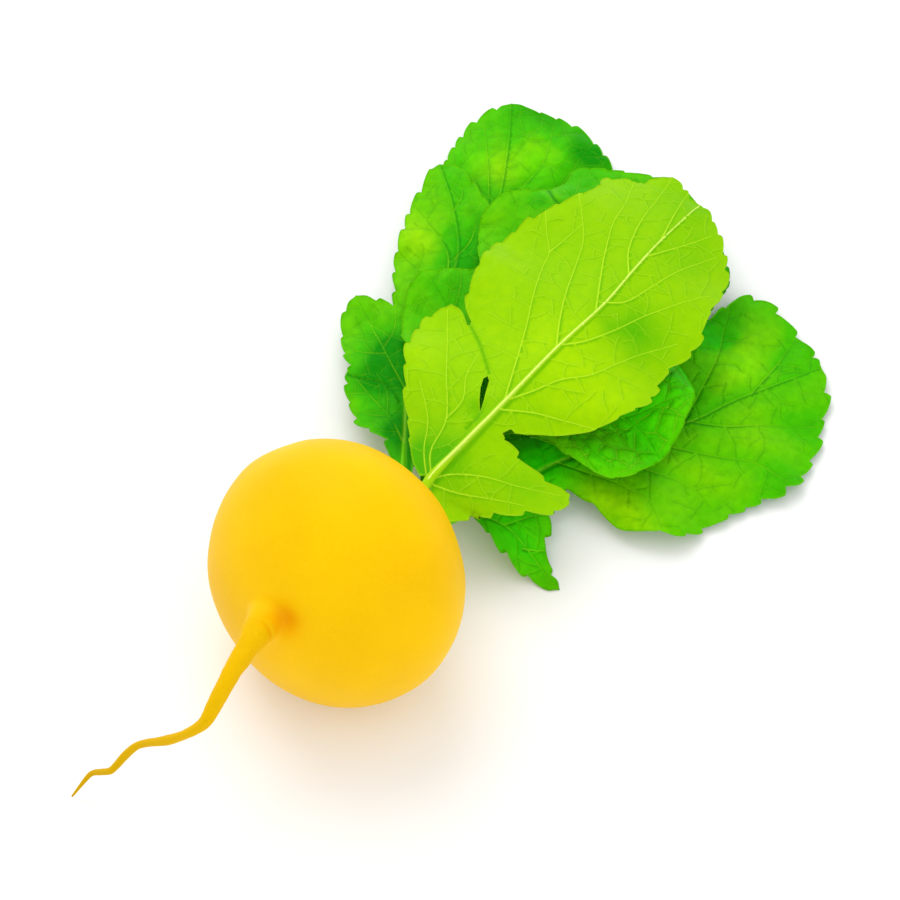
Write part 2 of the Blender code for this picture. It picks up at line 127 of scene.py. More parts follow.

# Each leaf: rib, lobes and lie as in the frame, then its side veins in plan, each from the rib outwards.
# Quilt and pucker are the rise of the blade between side veins and inside a cell of the net, and netShow is how
# clearly the net is painted, each on the left and right half. Tone runs from
# -1, dark, to 1, bright: the leaf's own, what its left and right halves add, and patches (x, y, reach, change).
# The halves and most patches are painted light and shade: a half turned to the lamp or away from it, and the
# shade that the leaves above cast; the rest is the leaf's own colour.
# Glow is where light falls on the leaf through the one above: (x, y, reach, share)
leaves = {
    "leaf_back": {
        "rib": ((52, 6, 14.5), (75, 19, 9.5), (105, 36, 6.6), (135, 52, 5.6), (163, 66, 5.4),
                (184, 79, 4.4), (199, 90, 2.8)),
        "ringAngle": -90.0,
        "lobes": (
            {"from": 0.34, "to": 1.0, "left": (9, 17, 21, 23, 23, 21, 18.5, 11),
             "right": (9, 20, 27, 32, 35, 37, 35, 21)},
            {"from": 0.12, "to": 0.40, "left": (2, 4, 5, 5, 6), "right": (2, 4, 5, 5, 6)},
            {"from": 0.18, "tip": (84, 46), "left": (5, 7, 7, 6, 3), "right": (6, 8, 8, 7, 4)},
            {"from": 0.17, "tip": (92, 4), "left": (5, 7, 7, 6, 3), "right": (4, 6, 6, 5, 3)},
        ),
        "left": (1.5, 1.5), "right": (1.5, 1.5), "wave": (2.2, 38.0, 40.0),
        "swells": (),
        "above": (),
        "underside": False,
        "teeth": 1.0,
        "seed": 11,
        "quilt": 0.6,
        "pucker": (0.14, 0.14),
        "netScale": 1.1,
        "netShow": (0.25, 0.25),
        "glow": ((184, 66, 9, 0.25), (172, 84, 6, 0.2)),
        "tone": 0.0,
        "litAndShadedHalves": (0.1, 0.0),
        "toneAndShadePatches": ((177, 74, 9, 0.7), (205, 77, 9, -0.6), (201, 55, 9, -1.1), (200, 87, 8, -0.3),
                    (164, 73, 7, -0.1), (190, 66, 7, 0.5)),
        "seams": (),
        "veins": (
            ((88, 27), (98, 44), (112, 62)), ((112, 40), (126, 60), (146, 80)), ((132, 50), (150, 68), (170, 92)),
            ((150, 60), (170, 76), (188, 93)), ((92, 29), (112, 22), (136, 6)), ((108, 38), (134, 32), (160, 14)),
            ((128, 49), (154, 46), (184, 32)), ((146, 58), (176, 55), (203, 58)), ((160, 65), (184, 65), (203, 74)),
            ((57, 9), (68, 26), (82, 44)), ((57, 9), (74, 6), (91, 4)),
        ),
        "look": "upper",
    },
    "leaf_right": {
        "rib": ((56, -7.5, 20), (74, -11.5, 16.5), (92, -15.5, 13), (113, -25.5, 9.5), (135, -37, 7),
                (150, -42, 5.8), (164, -48, 4.6), (181, -55.5, 3)),
        "ringAngle": 0.0,
        "lobes": (
            {"from": 0.40, "to": 1.0, "left": (10, 18, 25, 29.5, 31, 32, 32.5, 33, 35, 29.5),
             "right": (27, 33, 37, 35, 34, 34.5, 35.5, 31, 22.5, 10)},
            {"from": 0.12, "to": 0.46, "left": (3, 6, 8, 9, 8), "right": (3, 5, 7, 9, 14)},
            {"from": 0.20, "tip": (97, 3), "left": (7, 9, 9, 8, 5), "right": (6, 8, 8, 7, 4)},
            {"from": 0.14, "tip": (63, -42), "left": (6, 21, 18, 6, 2), "right": (2, 2, 2.5, 2.5, 1.5)},
        ),
        "left": (1.0, 1.0), "right": (2.0, 1.0), "wave": (2.6, 42.0, 200.0),
        "swells": ((63, -42, 15, -18),),
        "above": ("leaf_back",),
        "underside": False,
        "teeth": 1.4,
        "seed": 23,
        "quilt": 0.85,
        "pucker": (0.16, 0.16),
        "netScale": 1.0,
        "netShow": (0.2, 0.2),
        "glow": ((166, -19, 9, 0.5), (163, -34, 8, 0.4), (90, -12, 10, 0.9), (64, -20, 12, 0.3), (67, -28, 9, 0.2)),
        "tone": 0.05,
        "litAndShadedHalves": (0.0, 0.1),
        "toneAndShadePatches": ((163, -34, 9, 1.1), (166, -18, 8, -0.9), (146, -53, 9, 0.3), (121, -52, 10, 0.3),
                    (93, -34, 9, 0.6), (95, -48, 8, 0.5), (160, -67, 9, -0.3), (136, -77, 9, -0.3),
                    (185, -44, 8, -0.2), (140, -31, 5, 0.1), (63, -17, 8, -0.2), (90, -10, 9, -0.2), (179, -36, 8, 0.2)),
        "seams": (),
        "veins": (
            ((133, -36), (144, -33), (161, -28), (171, -23), (181, -18)),
            ((135, -37), (142, -47), (150, -55), (163, -69)),
            ((117, -28), (125, -41), (131, -51), (137, -62), (138, -76)),
            ((105, -22), (111, -38), (117, -52), (115, -64)), ((93, -16), (100, -32), (102, -45), (96, -57)),
            ((157, -45), (173, -44), (187, -42)), ((110, -24), (128, -17), (148, -6), (164, 0)),
            ((97, -18), (110, -8), (128, 3)), ((62, -9), (78, -2), (96, 3)), ((58, -8), (64, -18), (65, -29), (63, -41)),
            ((64, -26), (71, -33), (73, -39)), ((64, -18), (75, -24), (80, -31)),
        ),
        "look": "upper",
    },
    "leaf_left": {
        "rib": ((53, 14, 20.5), (69, 27, 16), (86, 40, 13), (109, 51, 11.5), (133, 59, 11), (149, 74, 10),
                (161, 90, 8)),
        "ringAngle": 180.0,
        "lobes": (
            {"from": 0.44, "to": 1.0, "left": (8, 10.5, 15, 19.5, 19.5, 17, 13, 4.5),
             "right": (8, 13, 16, 17, 16.5, 13.5, 10, 6)},
            {"from": 0.10, "to": 0.50, "left": (3, 5, 6, 6, 7), "right": (3, 4, 5, 6, 7)},
            {"from": 0.38, "tip": (102, 76), "left": (9, 12.5, 12.5, 10, 5.5), "right": (6, 8, 9, 10, 4)},
            {"from": 0.24, "tip": (77, 58), "left": (6, 7, 7.5, 5.5, 2), "right": (6, 8, 9.5, 6, 1.5)},
        ),
        "left": (2.5, 1.0), "right": (1.0, 1.0), "wave": (1.9, 30.0, 90.0),
        "swells": (),
        "above": ("leaf_back",),
        "underside": False,
        "teeth": 1.0,
        "seed": 37,
        "quilt": 0.6,
        "pucker": (0.16, 0.16),
        "netScale": 1.15,
        "netShow": (0.25, 0.25),
        "glow": ((140, 60, 7, 0.15), (132, 53, 8, 0.1), (73, 44, 5, 0.1)),
        "tone": 0.1,
        "litAndShadedHalves": (0.12, -0.05),
        "toneAndShadePatches": ((133, 77, 9, 0.6), (122, 72, 8, 0.15), (140, 60, 7, -0.6), (132, 52, 9, -0.8), (154, 70, 7, 0.1),
                    (92, 49, 9, -1.8), (82, 45, 9, -1.5), (73, 44, 8, 0.1), (69, 28, 9, -1.6)),
        "seams": (((75.5, 57), (77.6, 50.6), (80.1, 45.5), (79.7, 41.4), (77.5, 36)),),
        "veins": (
            ((126, 57), (134, 64), (139, 76), (143, 87)), ((115, 53), (121, 64), (125, 79)),
            ((133, 60), (143, 61), (156, 68)), ((120, 55), (132, 50), (142, 49)), ((148, 73), (155, 75), (160, 80)),
            ((82, 37), (88, 49), (94, 60), (101, 75)), ((91, 55), (99, 57), (106, 62)), ((90, 53), (86, 59), (84, 67)),
            ((65, 24), (71, 35), (74, 46), (77, 57)), ((71, 36), (78, 42), (82, 50)), ((71, 35), (68, 41), (67, 47)),
        ),
        "look": "upper",
    },
    "leaf_middle": {
        "rib": ((55, 2, 24), (75, 7, 23.5), (100, 13, 22.5), (125, 17, 21), (150, 20, 19.5), (175, 22, 17.5),
                (203, 24, 14)),
        "ringAngle": None,
        "lobes": (
            {"from": 0.36, "to": 1.0, "left": (6, 15, 22, 27, 31, 37.5, 42.5, 41, 31.5, 28, 28, 8),
             "right": (9, 22, 31, 36, 39, 40, 36, 19)},
            {"from": 0.12, "to": 0.42, "left": (2, 5, 6, 6, 8), "right": (2, 5, 6, 6, 8)},
            {"from": 0.25, "tip": (118, 62), "left": (5, 7, 8.5, 11, 6), "right": (5, 12, 17, 20, 20)},
            {"from": 0.28, "tip": (141, -34), "left": (5, 9, 12, 15, 17.5, 19, 20, 20, 19.5, 19, 18, 15),
             "right": (7, 8, 10, 14, 21, 26.5, 29, 28, 24.5, 19.5, 13.5, 6)},
        ),
        "left": (2.0, 1.0), "right": (3.0, 0.5), "wave": (2.3, 40.0, 0.0),
        "swells": (),
        "above": ("leaf_back", "leaf_right", "leaf_left"),
        "underside": False,
        "teeth": 0.35,
        "seed": 41,
        "quilt": 0.5,
        "pucker": (0.15, 0.6),
        "netScale": 0.95,
        "netShow": (0.3, 1.0),
        "glow": ((121, -27, 12, 0.7), (143, -26, 11, 0.7), (112, -39, 9, 0.2), (99, -28, 9, 0.2)),
        "tone": 0.15,
        "litAndShadedHalves": (0.0, 0.05),
        "toneAndShadePatches": ((121, 48, 6, -0.3), (154, 58, 7, 0.1), (165, 50, 3, -0.7), (186, 45, 9, -0.3), (143, -26, 8, 0.1),
                    (121, -27, 8, 0.1), (99, -28, 7, -0.1), (112, -39, 7, -0.1), (183, -13, 8, -0.8)),
        "seams": (((172, 52), (169.5, 48.1), (168.5, 44.3), (168.1, 40)),),
        "veins": (
            ((108, 14), (125, 32), (142, 46), (161, 56)), ((136, 18), (158, 36), (174, 43), (186, 49)),
            ((166, 21), (184, 29), (198, 36)), ((88, 10), (102, 27), (112, 44), (119, 61)),
            ((112, 43), (122, 48), (130, 56)), ((101, 25), (105, 40), (106, 57)),
            ((93, 11), (105, -8), (120, -24), (139, -34)), ((104, -7), (100, -20), (97, -35)),
            ((118, -22), (118, -32), (114, -42)), ((122, -25), (132, -22), (142, -18)),
            ((120, 16), (142, 6), (164, -8), (180, -13)), ((150, 20), (172, 10), (197, 3)),
        ),
        "look": "upper",
    },
    "leaf_top": {
        "rib": ((53, 3.6, 29.4), (70, 2.8, 32.6), (89, 2.0, 35), (114, 1.8, 36), (137, 1.2, 35),
                (154, 3, 33), (169, 4.5, 30.5), (188, 5.5, 26.5), (194, 6, 24.5)),
        "ringAngle": 90.0,
        "lobes": (
            {"from": 0.28, "to": 1.0, "left": (8, 20, 34.5, 40.5, 43.5, 44.5, 40.5, 34.5, 31, 29),
             "right": (14.5, 24.5, 29.5, 31, 28, 30, 27.5, 26, 21, 10)},
            {"from": 0.08, "to": 0.34, "left": (3, 4, 5, 6, 6), "right": (4, 6, 6, 6, 6)},
            {"from": 0.10, "tip": (109, 41), "left": (7.5, 9.5, 11.5, 12, 8), "right": (8, 11, 13, 11, 4.5)},
            {"from": 0.09, "tip": (82, -30), "left": (13, 15, 13, 5, 1), "right": (13.5, 10, 10, 9, 7)},
            {"from": 0.80, "tip": (196, 24), "left": (8, 12, 12, 9, 5.5), "right": (4, 7, 9, 9, 7)},
        ),
        "left": (2.5, 1.0), "right": (5.0, 1.5), "wave": (2.2, 44.0, 130.0),
        "swells": ((82, -30, 14, -4),),
        "above": ("leaf_back", "leaf_right", "leaf_left", "leaf_middle"),
        "underside": True,
        "teeth": 0.9,
        "seed": 5,
        "quilt": 0.35,
        "pucker": (0.1, 0.1),
        "netScale": 1.0,
        "netShow": (0.25, 0.25),
        "glow": (),
        "tone": 0.1,
        "litAndShadedHalves": (0.0, 0.0),
        "toneAndShadePatches": ((114, 1, 16, 0.6), (109, -19, 14, 0.4), (136, -12, 9, -1.0), (59, 8, 9, -1.5), (151, 30, 14, -0.05),
                    (196, 7, 14, -0.5), (173, -6, 10, -0.3), (82, 8, 4, -0.6), (70, -19, 9, -0.3), (90, 34, 12, 0.3)),
        "seams": (((107.6, 34), (104.8, 28.7), (101.3, 22.8), (97.4, 17.5), (94.1, 13.1)),
                  ((82.5, 6.6), (79, 5.4), (74, 5.6))),
        "hole": ((93, 12.8), (91.5, 13.2), (88, 11.5), (84.5, 9), (81.5, 6.3), (84.8, 7.6), (88.6, 9.6), (91.8, 11.2)),
        "veins": (
            ((88, 2), (113, 14), (124, 20), (138, 27), (145, 30), (151, 36), (159, 43)), ((145, 30), (151, 29), (160, 28)),
            ((114, 2), (123, 8), (134, 14), (147, 20), (155, 24), (163, 31), (171, 39)),
            ((134, 2), (145, 9), (155, 15), (167, 21), (177, 24), (190, 30)),
            ((152, 3), (161, 10), (174, 15), (187, 18), (199, 21)), ((172, 5), (184, 9), (198, 13)),
            ((89, 2), (97, -2), (106, -6), (114, -12), (123, -15), (132, -18), (144, -24)),
            ((115, 2), (122, -3), (132, -7), (142, -10), (152, -14), (166, -20)),
            ((137, 2), (143, -3), (153, -5), (166, -7), (181, -11)), ((161, 4), (174, -1), (186, -5)),
            ((85, 2), (93, -8), (98, -17), (104, -28)),
            ((55, 4), (62, 10), (73, 13), (85, 23), (95, 31), (107, 41)), ((53, 4), (61, 12), (70, 18), (79, 29)),
            ((73, 13), (81, 13), (89, 18), (99, 21)), ((53, 4), (59, 0), (65, -8), (71, -19), (79, -29)),
            ((53, 3), (56, -5), (61, -14), (67, -24)),
        ),
        "look": "lower",
    },
}

def linearColour(code):
    channels = [int(code[i:i + 2], 16) / 255 for i in (1, 3, 5)]
    return tuple(c / 12.92 if c <= 0.04045 else ((c + 0.055) / 1.055) ** 2.4 for c in channels) + (1.0,)


# Adds a node and gives back one output of it: each input is a value or the socket that feeds it, and the rest
# are the node's own settings
def addNode(tree, kind, inputs=None, output=0, **settings):
    added = tree.nodes.new(kind)
    for name, value in settings.items():
        setattr(added, name, value)
    for name, value in (inputs or {}).items():
        if isinstance(value, bpy.types.NodeSocket):
            tree.links.new(value, added.inputs[name])
        else:
            added.inputs[name].default_value = value
    return added.outputs[output] if len(added.outputs) else None


# Curves and heights: the frame's own rules, on finer steps
def runLength(path):
    return np.concatenate(([0.0], np.cumsum(np.linalg.norm(np.diff(path, axis=0), axis=1))))


def smoothPath(points, step):
    points = np.array(points, float)
    ends = np.vstack((2 * points[0] - points[1], points, 2 * points[-1] - points[-2]))
    t = np.linspace(0.0, 1.0, 24, endpoint=False)[:, None]
    dense = []
    for before, start, end, after in zip(ends, ends[1:], ends[2:], ends[3:]):
        bend = 2 * before - 5 * start + 4 * end - after
        dense.append(0.5 * (2 * start + (end - before) * t + bend * t ** 2
                            + (3 * start - before - 3 * end + after) * t ** 3))
    dense = np.vstack(dense + [points[-1:]])
    along = runLength(dense)
    count = max(int(round(along[-1] / step)), 2)
    return sampled(dense, np.linspace(0.0, along[-1], count + 1))


def sampled(path, at):
    along = runLength(path)
    return np.column_stack([np.interp(at, along, path[:, i]) for i in range(path.shape[1])])


def smoothStep(value, low, high):
    share = np.clip((value - low) / (high - low), 0.0, 1.0)
    return share * share * (3 - 2 * share)


def softMax(a, b, blend):
    overlap = np.clip(blend - np.abs(a - b), 0.0, None) / blend
    return np.maximum(a, b) + overlap ** 2 * blend / 4


dip = math.radians(root["crownDip"])
crownAxis = np.array((math.cos(dip), 0.0, -math.sin(dip)))
crownUp = np.array((math.sin(dip), 0.0, math.cos(dip)))
crownLeft = np.array((0.0, 1.0, 0.0))
girth, pole = root["bulbWidth"] / 2, root["bulbLength"] / 2
reachDown = math.hypot(girth * math.cos(dip), pole * math.sin(dip))
lean = (girth ** 2 - pole ** 2) * math.sin(dip) * math.cos(dip) / reachDown
bulbCentre = np.array((lean, 0.0, reachDown - root["restDepth"]))
neckEnd = bulbCentre + (pole + root["neckLength"]) * crownAxis


def ribPath(leaf, step):
    foot = neckEnd + blade["stalkGap"] * crownAxis
    if leaf["ringAngle"] is not None:
        turn = math.radians(leaf["ringAngle"])
        foot = foot + blade["stalkRing"] * (math.cos(turn) * -crownLeft + math.sin(turn) * crownUp)
    return np.vstack((foot, smoothPath((foot + blade["straightFoot"] * crownAxis,) + leaf["rib"], step)))


fineRibs = {name: ribPath(leaf, blade["fineRibStep"]) for name, leaf in leaves.items()}


# Height of the rib beside each plan point, its distance along the rib, and how far left of it
def nearestOnRib(rib, plan):
    start, step = rib[:-1, :2], np.diff(rib[:, :2], axis=0)
    offset = plan[:, None, :] - start[None, :, :]
    share = np.clip((offset * step).sum(2) / (step ** 2).sum(1), 0.0, 1.0)
    distance = np.linalg.norm(offset - share[..., None] * step, axis=2)
    index = distance.argmin(axis=1)
    rows = np.arange(len(plan))
    share = share[rows, index]
    height = rib[index, 2] + share * np.diff(rib[:, 2])[index]
    along = runLength(rib[:, :2])[index] + share * np.linalg.norm(step, axis=1)[index]
    cross = step[index, 0] * offset[rows, index, 1] - step[index, 1] * offset[rows, index, 0]
    return height, along, np.sign(cross) * distance[rows, index]


def bladeHeight(name, plan):
    leaf = leaves[name]
    height, along, side = nearestOnRib(fineRibs[name], plan)
    reach = np.abs(side) / blade["foldReach"]
    fall = np.where(side > 0, leaf["left"][0], leaf["right"][0])
    curl = np.where(side > 0, leaf["left"][1], leaf["right"][1])
    rise, length, phase = leaf["wave"]
    turn = 2 * math.pi * along / length + math.radians(phase) * np.sign(side)
    height = height - fall * reach - curl * reach ** 2
    height += rise * np.minimum(reach, blade["widestWave"]) ** 1.5 * np.sin(turn)
    for x, y, spread, rise in leaf["swells"]:
        height = height + rise * np.exp(-((plan - (x, y)) ** 2).sum(1) / (2 * spread ** 2))
    held = softMax(height, blade["floorClearance"], blade["layerBlend"])
    for lower in leaf["above"]:
        lowerAlong = nearestOnRib(fineRibs[lower], plan)[1]
        lifted = softMax(held, bladeHeight(lower, plan) + blade["layerClearance"], blade["layerBlend"])
        held += smoothStep(lowerAlong, *blade["bareStalk"]) * (lifted - held)
    return height + smoothStep(along, *blade["bareStalk"]) * (held - height)


# One margin of a lobe, with rounded teeth that lean towards the tip
def toothedSide(axis, widths, side, teeth, rng):
    along = runLength(axis)
    shares = [0.0] + [(i + 0.5) / len(widths) for i in range(len(widths))] + [1.0]
    half = (widths[0] * blade["lobeBase"],) + widths + (0.0,)
    tangent = np.gradient(axis, axis=0)
    normal = np.column_stack((-tangent[:, 1], tangent[:, 0])) / np.linalg.norm(tangent, axis=1)[:, None]
    corners = []
    for share, width in zip(shares, half):
        at = share * along[-1]
        place = np.array([np.interp(at, along, axis[:, i]) for i in range(2)])
        out = np.array([np.interp(at, along, normal[:, i]) for i in range(2)])
        corners.append(place + side * width * out)
    margin = smoothPath(corners, 0.5)
    length = runLength(margin)
    tangent = np.gradient(margin, axis=0)
    outward = side * np.column_stack((-tangent[:, 1], tangent[:, 0]))
    outward /= np.linalg.norm(outward, axis=1)[:, None]
    at, places, depths = 0.0, [], []
    while at < length[-1] - blade["toothWidth"][0] * 0.6:
        width = min(rng.uniform(*blade["toothWidth"]), length[-1] - at)
        depth = teeth * rng.uniform(*blade["toothDepth"])
        for share in blade["toothSteps"]:
            rise = math.sin(math.pi / 2 * min(share / blade["toothCrest"], 1.0) ** 0.9)
            drop = max(share - blade["toothCrest"], 0.0) / (1 - blade["toothCrest"])
            places.append(at + share * width)
            depths.append(depth * rise * math.cos(math.pi / 2 * drop))
        at += width
    places, depths = np.array(places), np.array(depths)
    depths *= smoothStep(places / length[-1], *blade["teethStart"])
    depths *= smoothStep(length[-1] - places, 0.0, blade["teethEnd"])
    point = np.column_stack([np.interp(places, length, margin[:, i]) for i in range(2)])
    out = np.column_stack([np.interp(places, length, outward[:, i]) for i in range(2)])
    return point + depths[:, None] * out


def lobeOutline(rib, lobe, teeth, rng):
    along = runLength(rib)
    start = sampled(rib, [lobe["from"] * along[-1]])[0, :2]
    if "tip" in lobe:
        axis = start + np.linspace(0.0, 1.0, 24)[:, None] * (np.array(lobe["tip"]) - start)
    else:
        axis = sampled(rib, np.linspace(lobe["from"], lobe["to"], 24) * along[-1])[:, :2]
    left = toothedSide(axis, lobe["left"], 1.0, teeth, rng)
    right = toothedSide(axis, lobe["right"], -1.0, teeth, rng)
    return closeSteps(np.vstack((right, axis[-1:], left[::-1])))


# The same outline with more points on its long straight stretches, which the blade's relief would miss
def closeSteps(polygon):
    points = []
    for start, end in zip(polygon, np.roll(polygon, -1, axis=0)):
        pieces = max(int(math.ceil(np.linalg.norm(end - start) / blade["outlineStep"])), 1)
        points.append(start + np.arange(pieces)[:, None] / pieces * (end - start))
    return np.vstack(points)


def inside(polygon, plan):
    within = np.zeros(len(plan), bool)
    x, y = plan[:, 0], plan[:, 1]
    for (x1, y1), (x2, y2) in zip(polygon, np.roll(polygon, -1, axis=0)):
        if y1 != y2:
            within ^= ((y1 > y) != (y2 > y)) & (x < (x2 - x1) * (y - y1) / (y2 - y1) + x1)
    return within


# Those of the extra points that are at least a gap away from the kept ones and from each other
def keepApart(kept, extra, gap):
    cells = {}
    for x, y in kept:
        cells.setdefault((int(x // gap), int(y // gap)), []).append((x, y))
    chosen = []
    for x, y in extra:
        column, row = int(x // gap), int(y // gap)
        near = (p for i in (-1, 0, 1) for j in (-1, 0, 1) for p in cells.get((column + i, row + j), ()))
        if all((x - px) ** 2 + (y - py) ** 2 > gap * gap for px, py in near):
            cells.setdefault((column, row), []).append((x, y))
            chosen.append((x, y))
    return np.array(chosen).reshape(-1, 2)


def ribRadius(along, total):
    return blade["stalkRadius"] + (blade["ribTipRadius"] - blade["stalkRadius"]) * (along / total) ** blade["ribTaper"]


# Rows of points beside a vein, so that the mesh follows it
def veinRows(path, radius, offsets):
    tangent = np.gradient(path, axis=0)
    normal = np.column_stack((-tangent[:, 1], tangent[:, 0])) / np.linalg.norm(tangent, axis=1)[:, None]
    return np.vstack([path + offset * radius[:, None] * normal for offset in offsets])


def sideVeins(name):
    rib = fineRibs[name]
    found = []
    for points in leaves[name]["veins"]:
        path = smoothPath(points, 0.15)
        fromRib = abs(nearestOnRib(rib, np.array(points[:1], float))[2][0]) < 3.5
        first, last = blade["sideVein"] if fromRib else blade["branchVein"]
        along = runLength(path)
        found.append((path, first + (last - first) * (along / along[-1]) ** 0.8))
    return found


# Fine veins grow off the rib, the side veins and then each other, and end where they meet another vein
def fineVeins(name, veins):
    leaf = leaves[name]
    rng = random.Random(leaf["seed"] + 100)
    ribPlan = smoothPath(fineRibs[name][1:, :2], 0.15)
    parents = [ribPlan[runLength(ribPlan) > blade["bareStalk"][1]]] + [path for path, _ in veins]
    taken = np.vstack(parents)
    found = []
    for generation in range(2):
        grown = []
        for parent in parents:
            along = runLength(parent)
            tangent = np.gradient(parent, axis=0)
            side = rng.choice((-1.0, 1.0))
            at = rng.uniform(*blade["fineStart"])
            while at < along[-1] - 1.5:
                index = int(np.searchsorted(along, at))
                turn = math.atan2(tangent[index, 1], tangent[index, 0])
                turn += side * math.radians(rng.uniform(*blade["fineAngle"]))
                length = rng.uniform(*blade["fineLength"]) * (1 - 0.4 * generation)
                points = [parent[index]]
                while 0.5 * len(points) < length:
                    turn += math.radians(rng.uniform(-1.0, 1.0) * blade["fineWander"])
                    points.append(points[-1] + 0.5 * np.array((math.cos(turn), math.sin(turn))))
                    gap = np.linalg.norm(taken - points[-1], axis=1).min()
                    if gap < 0.4 and len(points) > 3:
                        break
                if len(points) > 4:
                    grown.append(smoothPath(points, 0.15))
                    taken = np.vstack((taken, grown[-1]))
                side = -side
                at += rng.uniform(*blade["fineStart"]) * (1 + 0.5 * generation)
        found += [(path, np.full(len(path), blade["fineVein"])) for path in grown]
        parents = grown
    return found


# Folds between overlapping lobes of one leaf
def seamPaths(name):
    return [smoothPath(points, 0.15) for points in leaves[name]["seams"]]


def planMesh(name, veins, fine):
    leaf = leaves[name]
    rng = random.Random(leaf["seed"])
    frameRib = ribPath(leaf, blade["frameRibStep"])
    outlines = [lobeOutline(frameRib, lobe, leaf["teeth"], rng) for lobe in leaf["lobes"]]
    lobeCount = len(outlines)
    if "hole" in leaf:
        outlines.append(closeSteps(np.array(leaf["hole"])))
    outline = np.vstack(outlines)
    rib = fineRibs[name]
    ribPlan = smoothPath(rib[1:, :2], 0.9)
    total = runLength(ribPlan)[-1]
    points = veinRows(ribPlan, ribRadius(runLength(ribPlan), total), (0, -0.4, 0.4, -0.75, 0.75, -1.0, 1.0, -1.5, 1.5))
    points = keepApart(outline, points, 0.2)
    rows = np.vstack([veinRows(path[::5], np.maximum(radius[::5], 0.22), (0, -0.55, 0.55, -1.1, 1.1, -2.0, 2.0))
                      for path, radius in veins])
    points = np.vstack((points, keepApart(np.vstack((outline, points)), rows, 0.13)))
    rows = np.vstack([veinRows(path[::4], radius[::4], (0, -2.0, 2.0)) for path, radius in fine])
    points = np.vstack((points, keepApart(np.vstack((outline, points)), rows, 0.15)))
    for path in seamPaths(name):
        rows = veinRows(path[::2], np.full(len(path[::2]), 0.3), (0, -0.6, 0.6, -1.3, 1.3))
        points = np.vstack((points, keepApart(np.vstack((outline, points)), rows, 0.13)))
    low, high = outline.min(0), outline.max(0)
    spacing = blade["grid"]
    rows = np.arange(low[1], high[1], spacing * math.sqrt(0.75))
    grid = np.array([(x + (spacing / 2 if i % 2 else 0.0), y)
                     for i, y in enumerate(rows) for x in np.arange(low[0], high[0], spacing)])
    points = np.vstack((points, keepApart(np.vstack((outline, points)), grid, spacing * 0.55)))
    points = points[np.any([inside(polygon, points) for polygon in outlines[:lobeCount]], axis=0)]
    faces, first = [], 0
    for polygon in outlines:
        faces.append(list(range(first, first + len(polygon))))
        first += len(polygon)
    everything = [Vector(p) for p in np.vstack((outline, points))]
    places, _, triangles, _, _, sources = delaunay_2d_cdt(everything, [], faces, 0, 1e-4, True)
    triangles = np.array([tri for tri, source in zip(triangles, sources) if source and max(source) < lobeCount])
    used, renumbered = np.unique(triangles, return_inverse=True)
    places = np.array([tuple(places[i]) for i in used])
    triangles = renumbered.reshape(-1, 3)
    a, b, c = (places[triangles[:, i]] for i in range(3))
    turned = (b[:, 0] - a[:, 0]) * (c[:, 1] - a[:, 1]) - (b[:, 1] - a[:, 1]) * (c[:, 0] - a[:, 0]) < 0
    triangles[turned] = triangles[turned][:, ::-1]
    return places, triangles


def openEdges(triangles):
    edges = np.vstack((triangles[:, [0, 1]], triangles[:, [1, 2]], triangles[:, [2, 0]]))
    keys = {}
    for a, b in edges.tolist():
        keys[(min(a, b), max(a, b))] = None if (min(a, b), max(a, b)) in keys else (a, b)
    return np.array([edge for edge in keys.values() if edge])


def nearestOf(points, plan):
    tree = KDTree(len(points))
    for i, (x, y) in enumerate(points):
        tree.insert((x, y, 0.0), i)
    tree.balance()
    found = [tree.find((x, y, 0.0)) for x, y in plan]
    return np.array([f[2] for f in found]), np.array([f[1] for f in found])


def buildMesh(name, places, triangles, values):
    mesh = bpy.data.meshes.new(name)
    mesh.from_pydata((places * mm).tolist(), [], triangles)
    for label, value in values.items():
        kind = "FLOAT_VECTOR" if value.ndim == 2 else "FLOAT"
        attribute = mesh.attributes.new(label, kind, "POINT")
        attribute.data.foreach_set("vector" if value.ndim == 2 else "value", value.astype(np.float32).ravel())
    mesh.shade_smooth()
    mesh.validate()
    obj = bpy.data.objects.new(name, mesh)
    bpy.context.scene.collection.objects.link(obj)
    return obj


# A Geometry Nodes tree with named inputs. Returns the tree, its inputs' sockets and their identifiers
def newTree(name, values):
    tree = bpy.data.node_groups.new(name, "GeometryNodeTree")
    tree.is_modifier = True
    tree.interface.new_socket("Geometry", in_out="INPUT", socket_type="NodeSocketGeometry")
    tree.interface.new_socket("Geometry", in_out="OUTPUT", socket_type="NodeSocketGeometry")
    names = {}
    for label, value in values.items():
        kind = "NodeSocketInt" if isinstance(value, int) else "NodeSocketFloat"
        socket = tree.interface.new_socket(label, in_out="INPUT", socket_type=kind)
        socket.default_value = value
        names[label] = socket.identifier
    socket = tree.interface.new_socket("Material", in_out="INPUT", socket_type="NodeSocketMaterial")
    names["Material"] = socket.identifier
    return tree, addNode(tree, "NodeGroupInput").node.outputs, names


def endTree(tree, geometry, given):
    whole = addNode(tree, "GeometryNodeRealizeInstances", {"Geometry": geometry})
    painted = addNode(tree, "GeometryNodeSetMaterial", {"Geometry": whole, "Material": given["Material"]})
    addNode(tree, "NodeGroupOutput", {"Geometry": painted})


# Runs a tree on an object, with its inputs set first, and leaves a plain mesh
def applyTree(obj, tree, names, values):
    modifier = obj.modifiers.new(tree.name, "NODES")
    modifier.node_group = tree
    for label, value in values.items():
        modifier[names[label]] = value
    mesh = bpy.data.meshes.new_from_object(obj.evaluated_get(bpy.context.evaluated_depsgraph_get()))
    obj.modifiers.remove(modifier)
    obj.data = mesh
    mesh.name = obj.name
    return obj


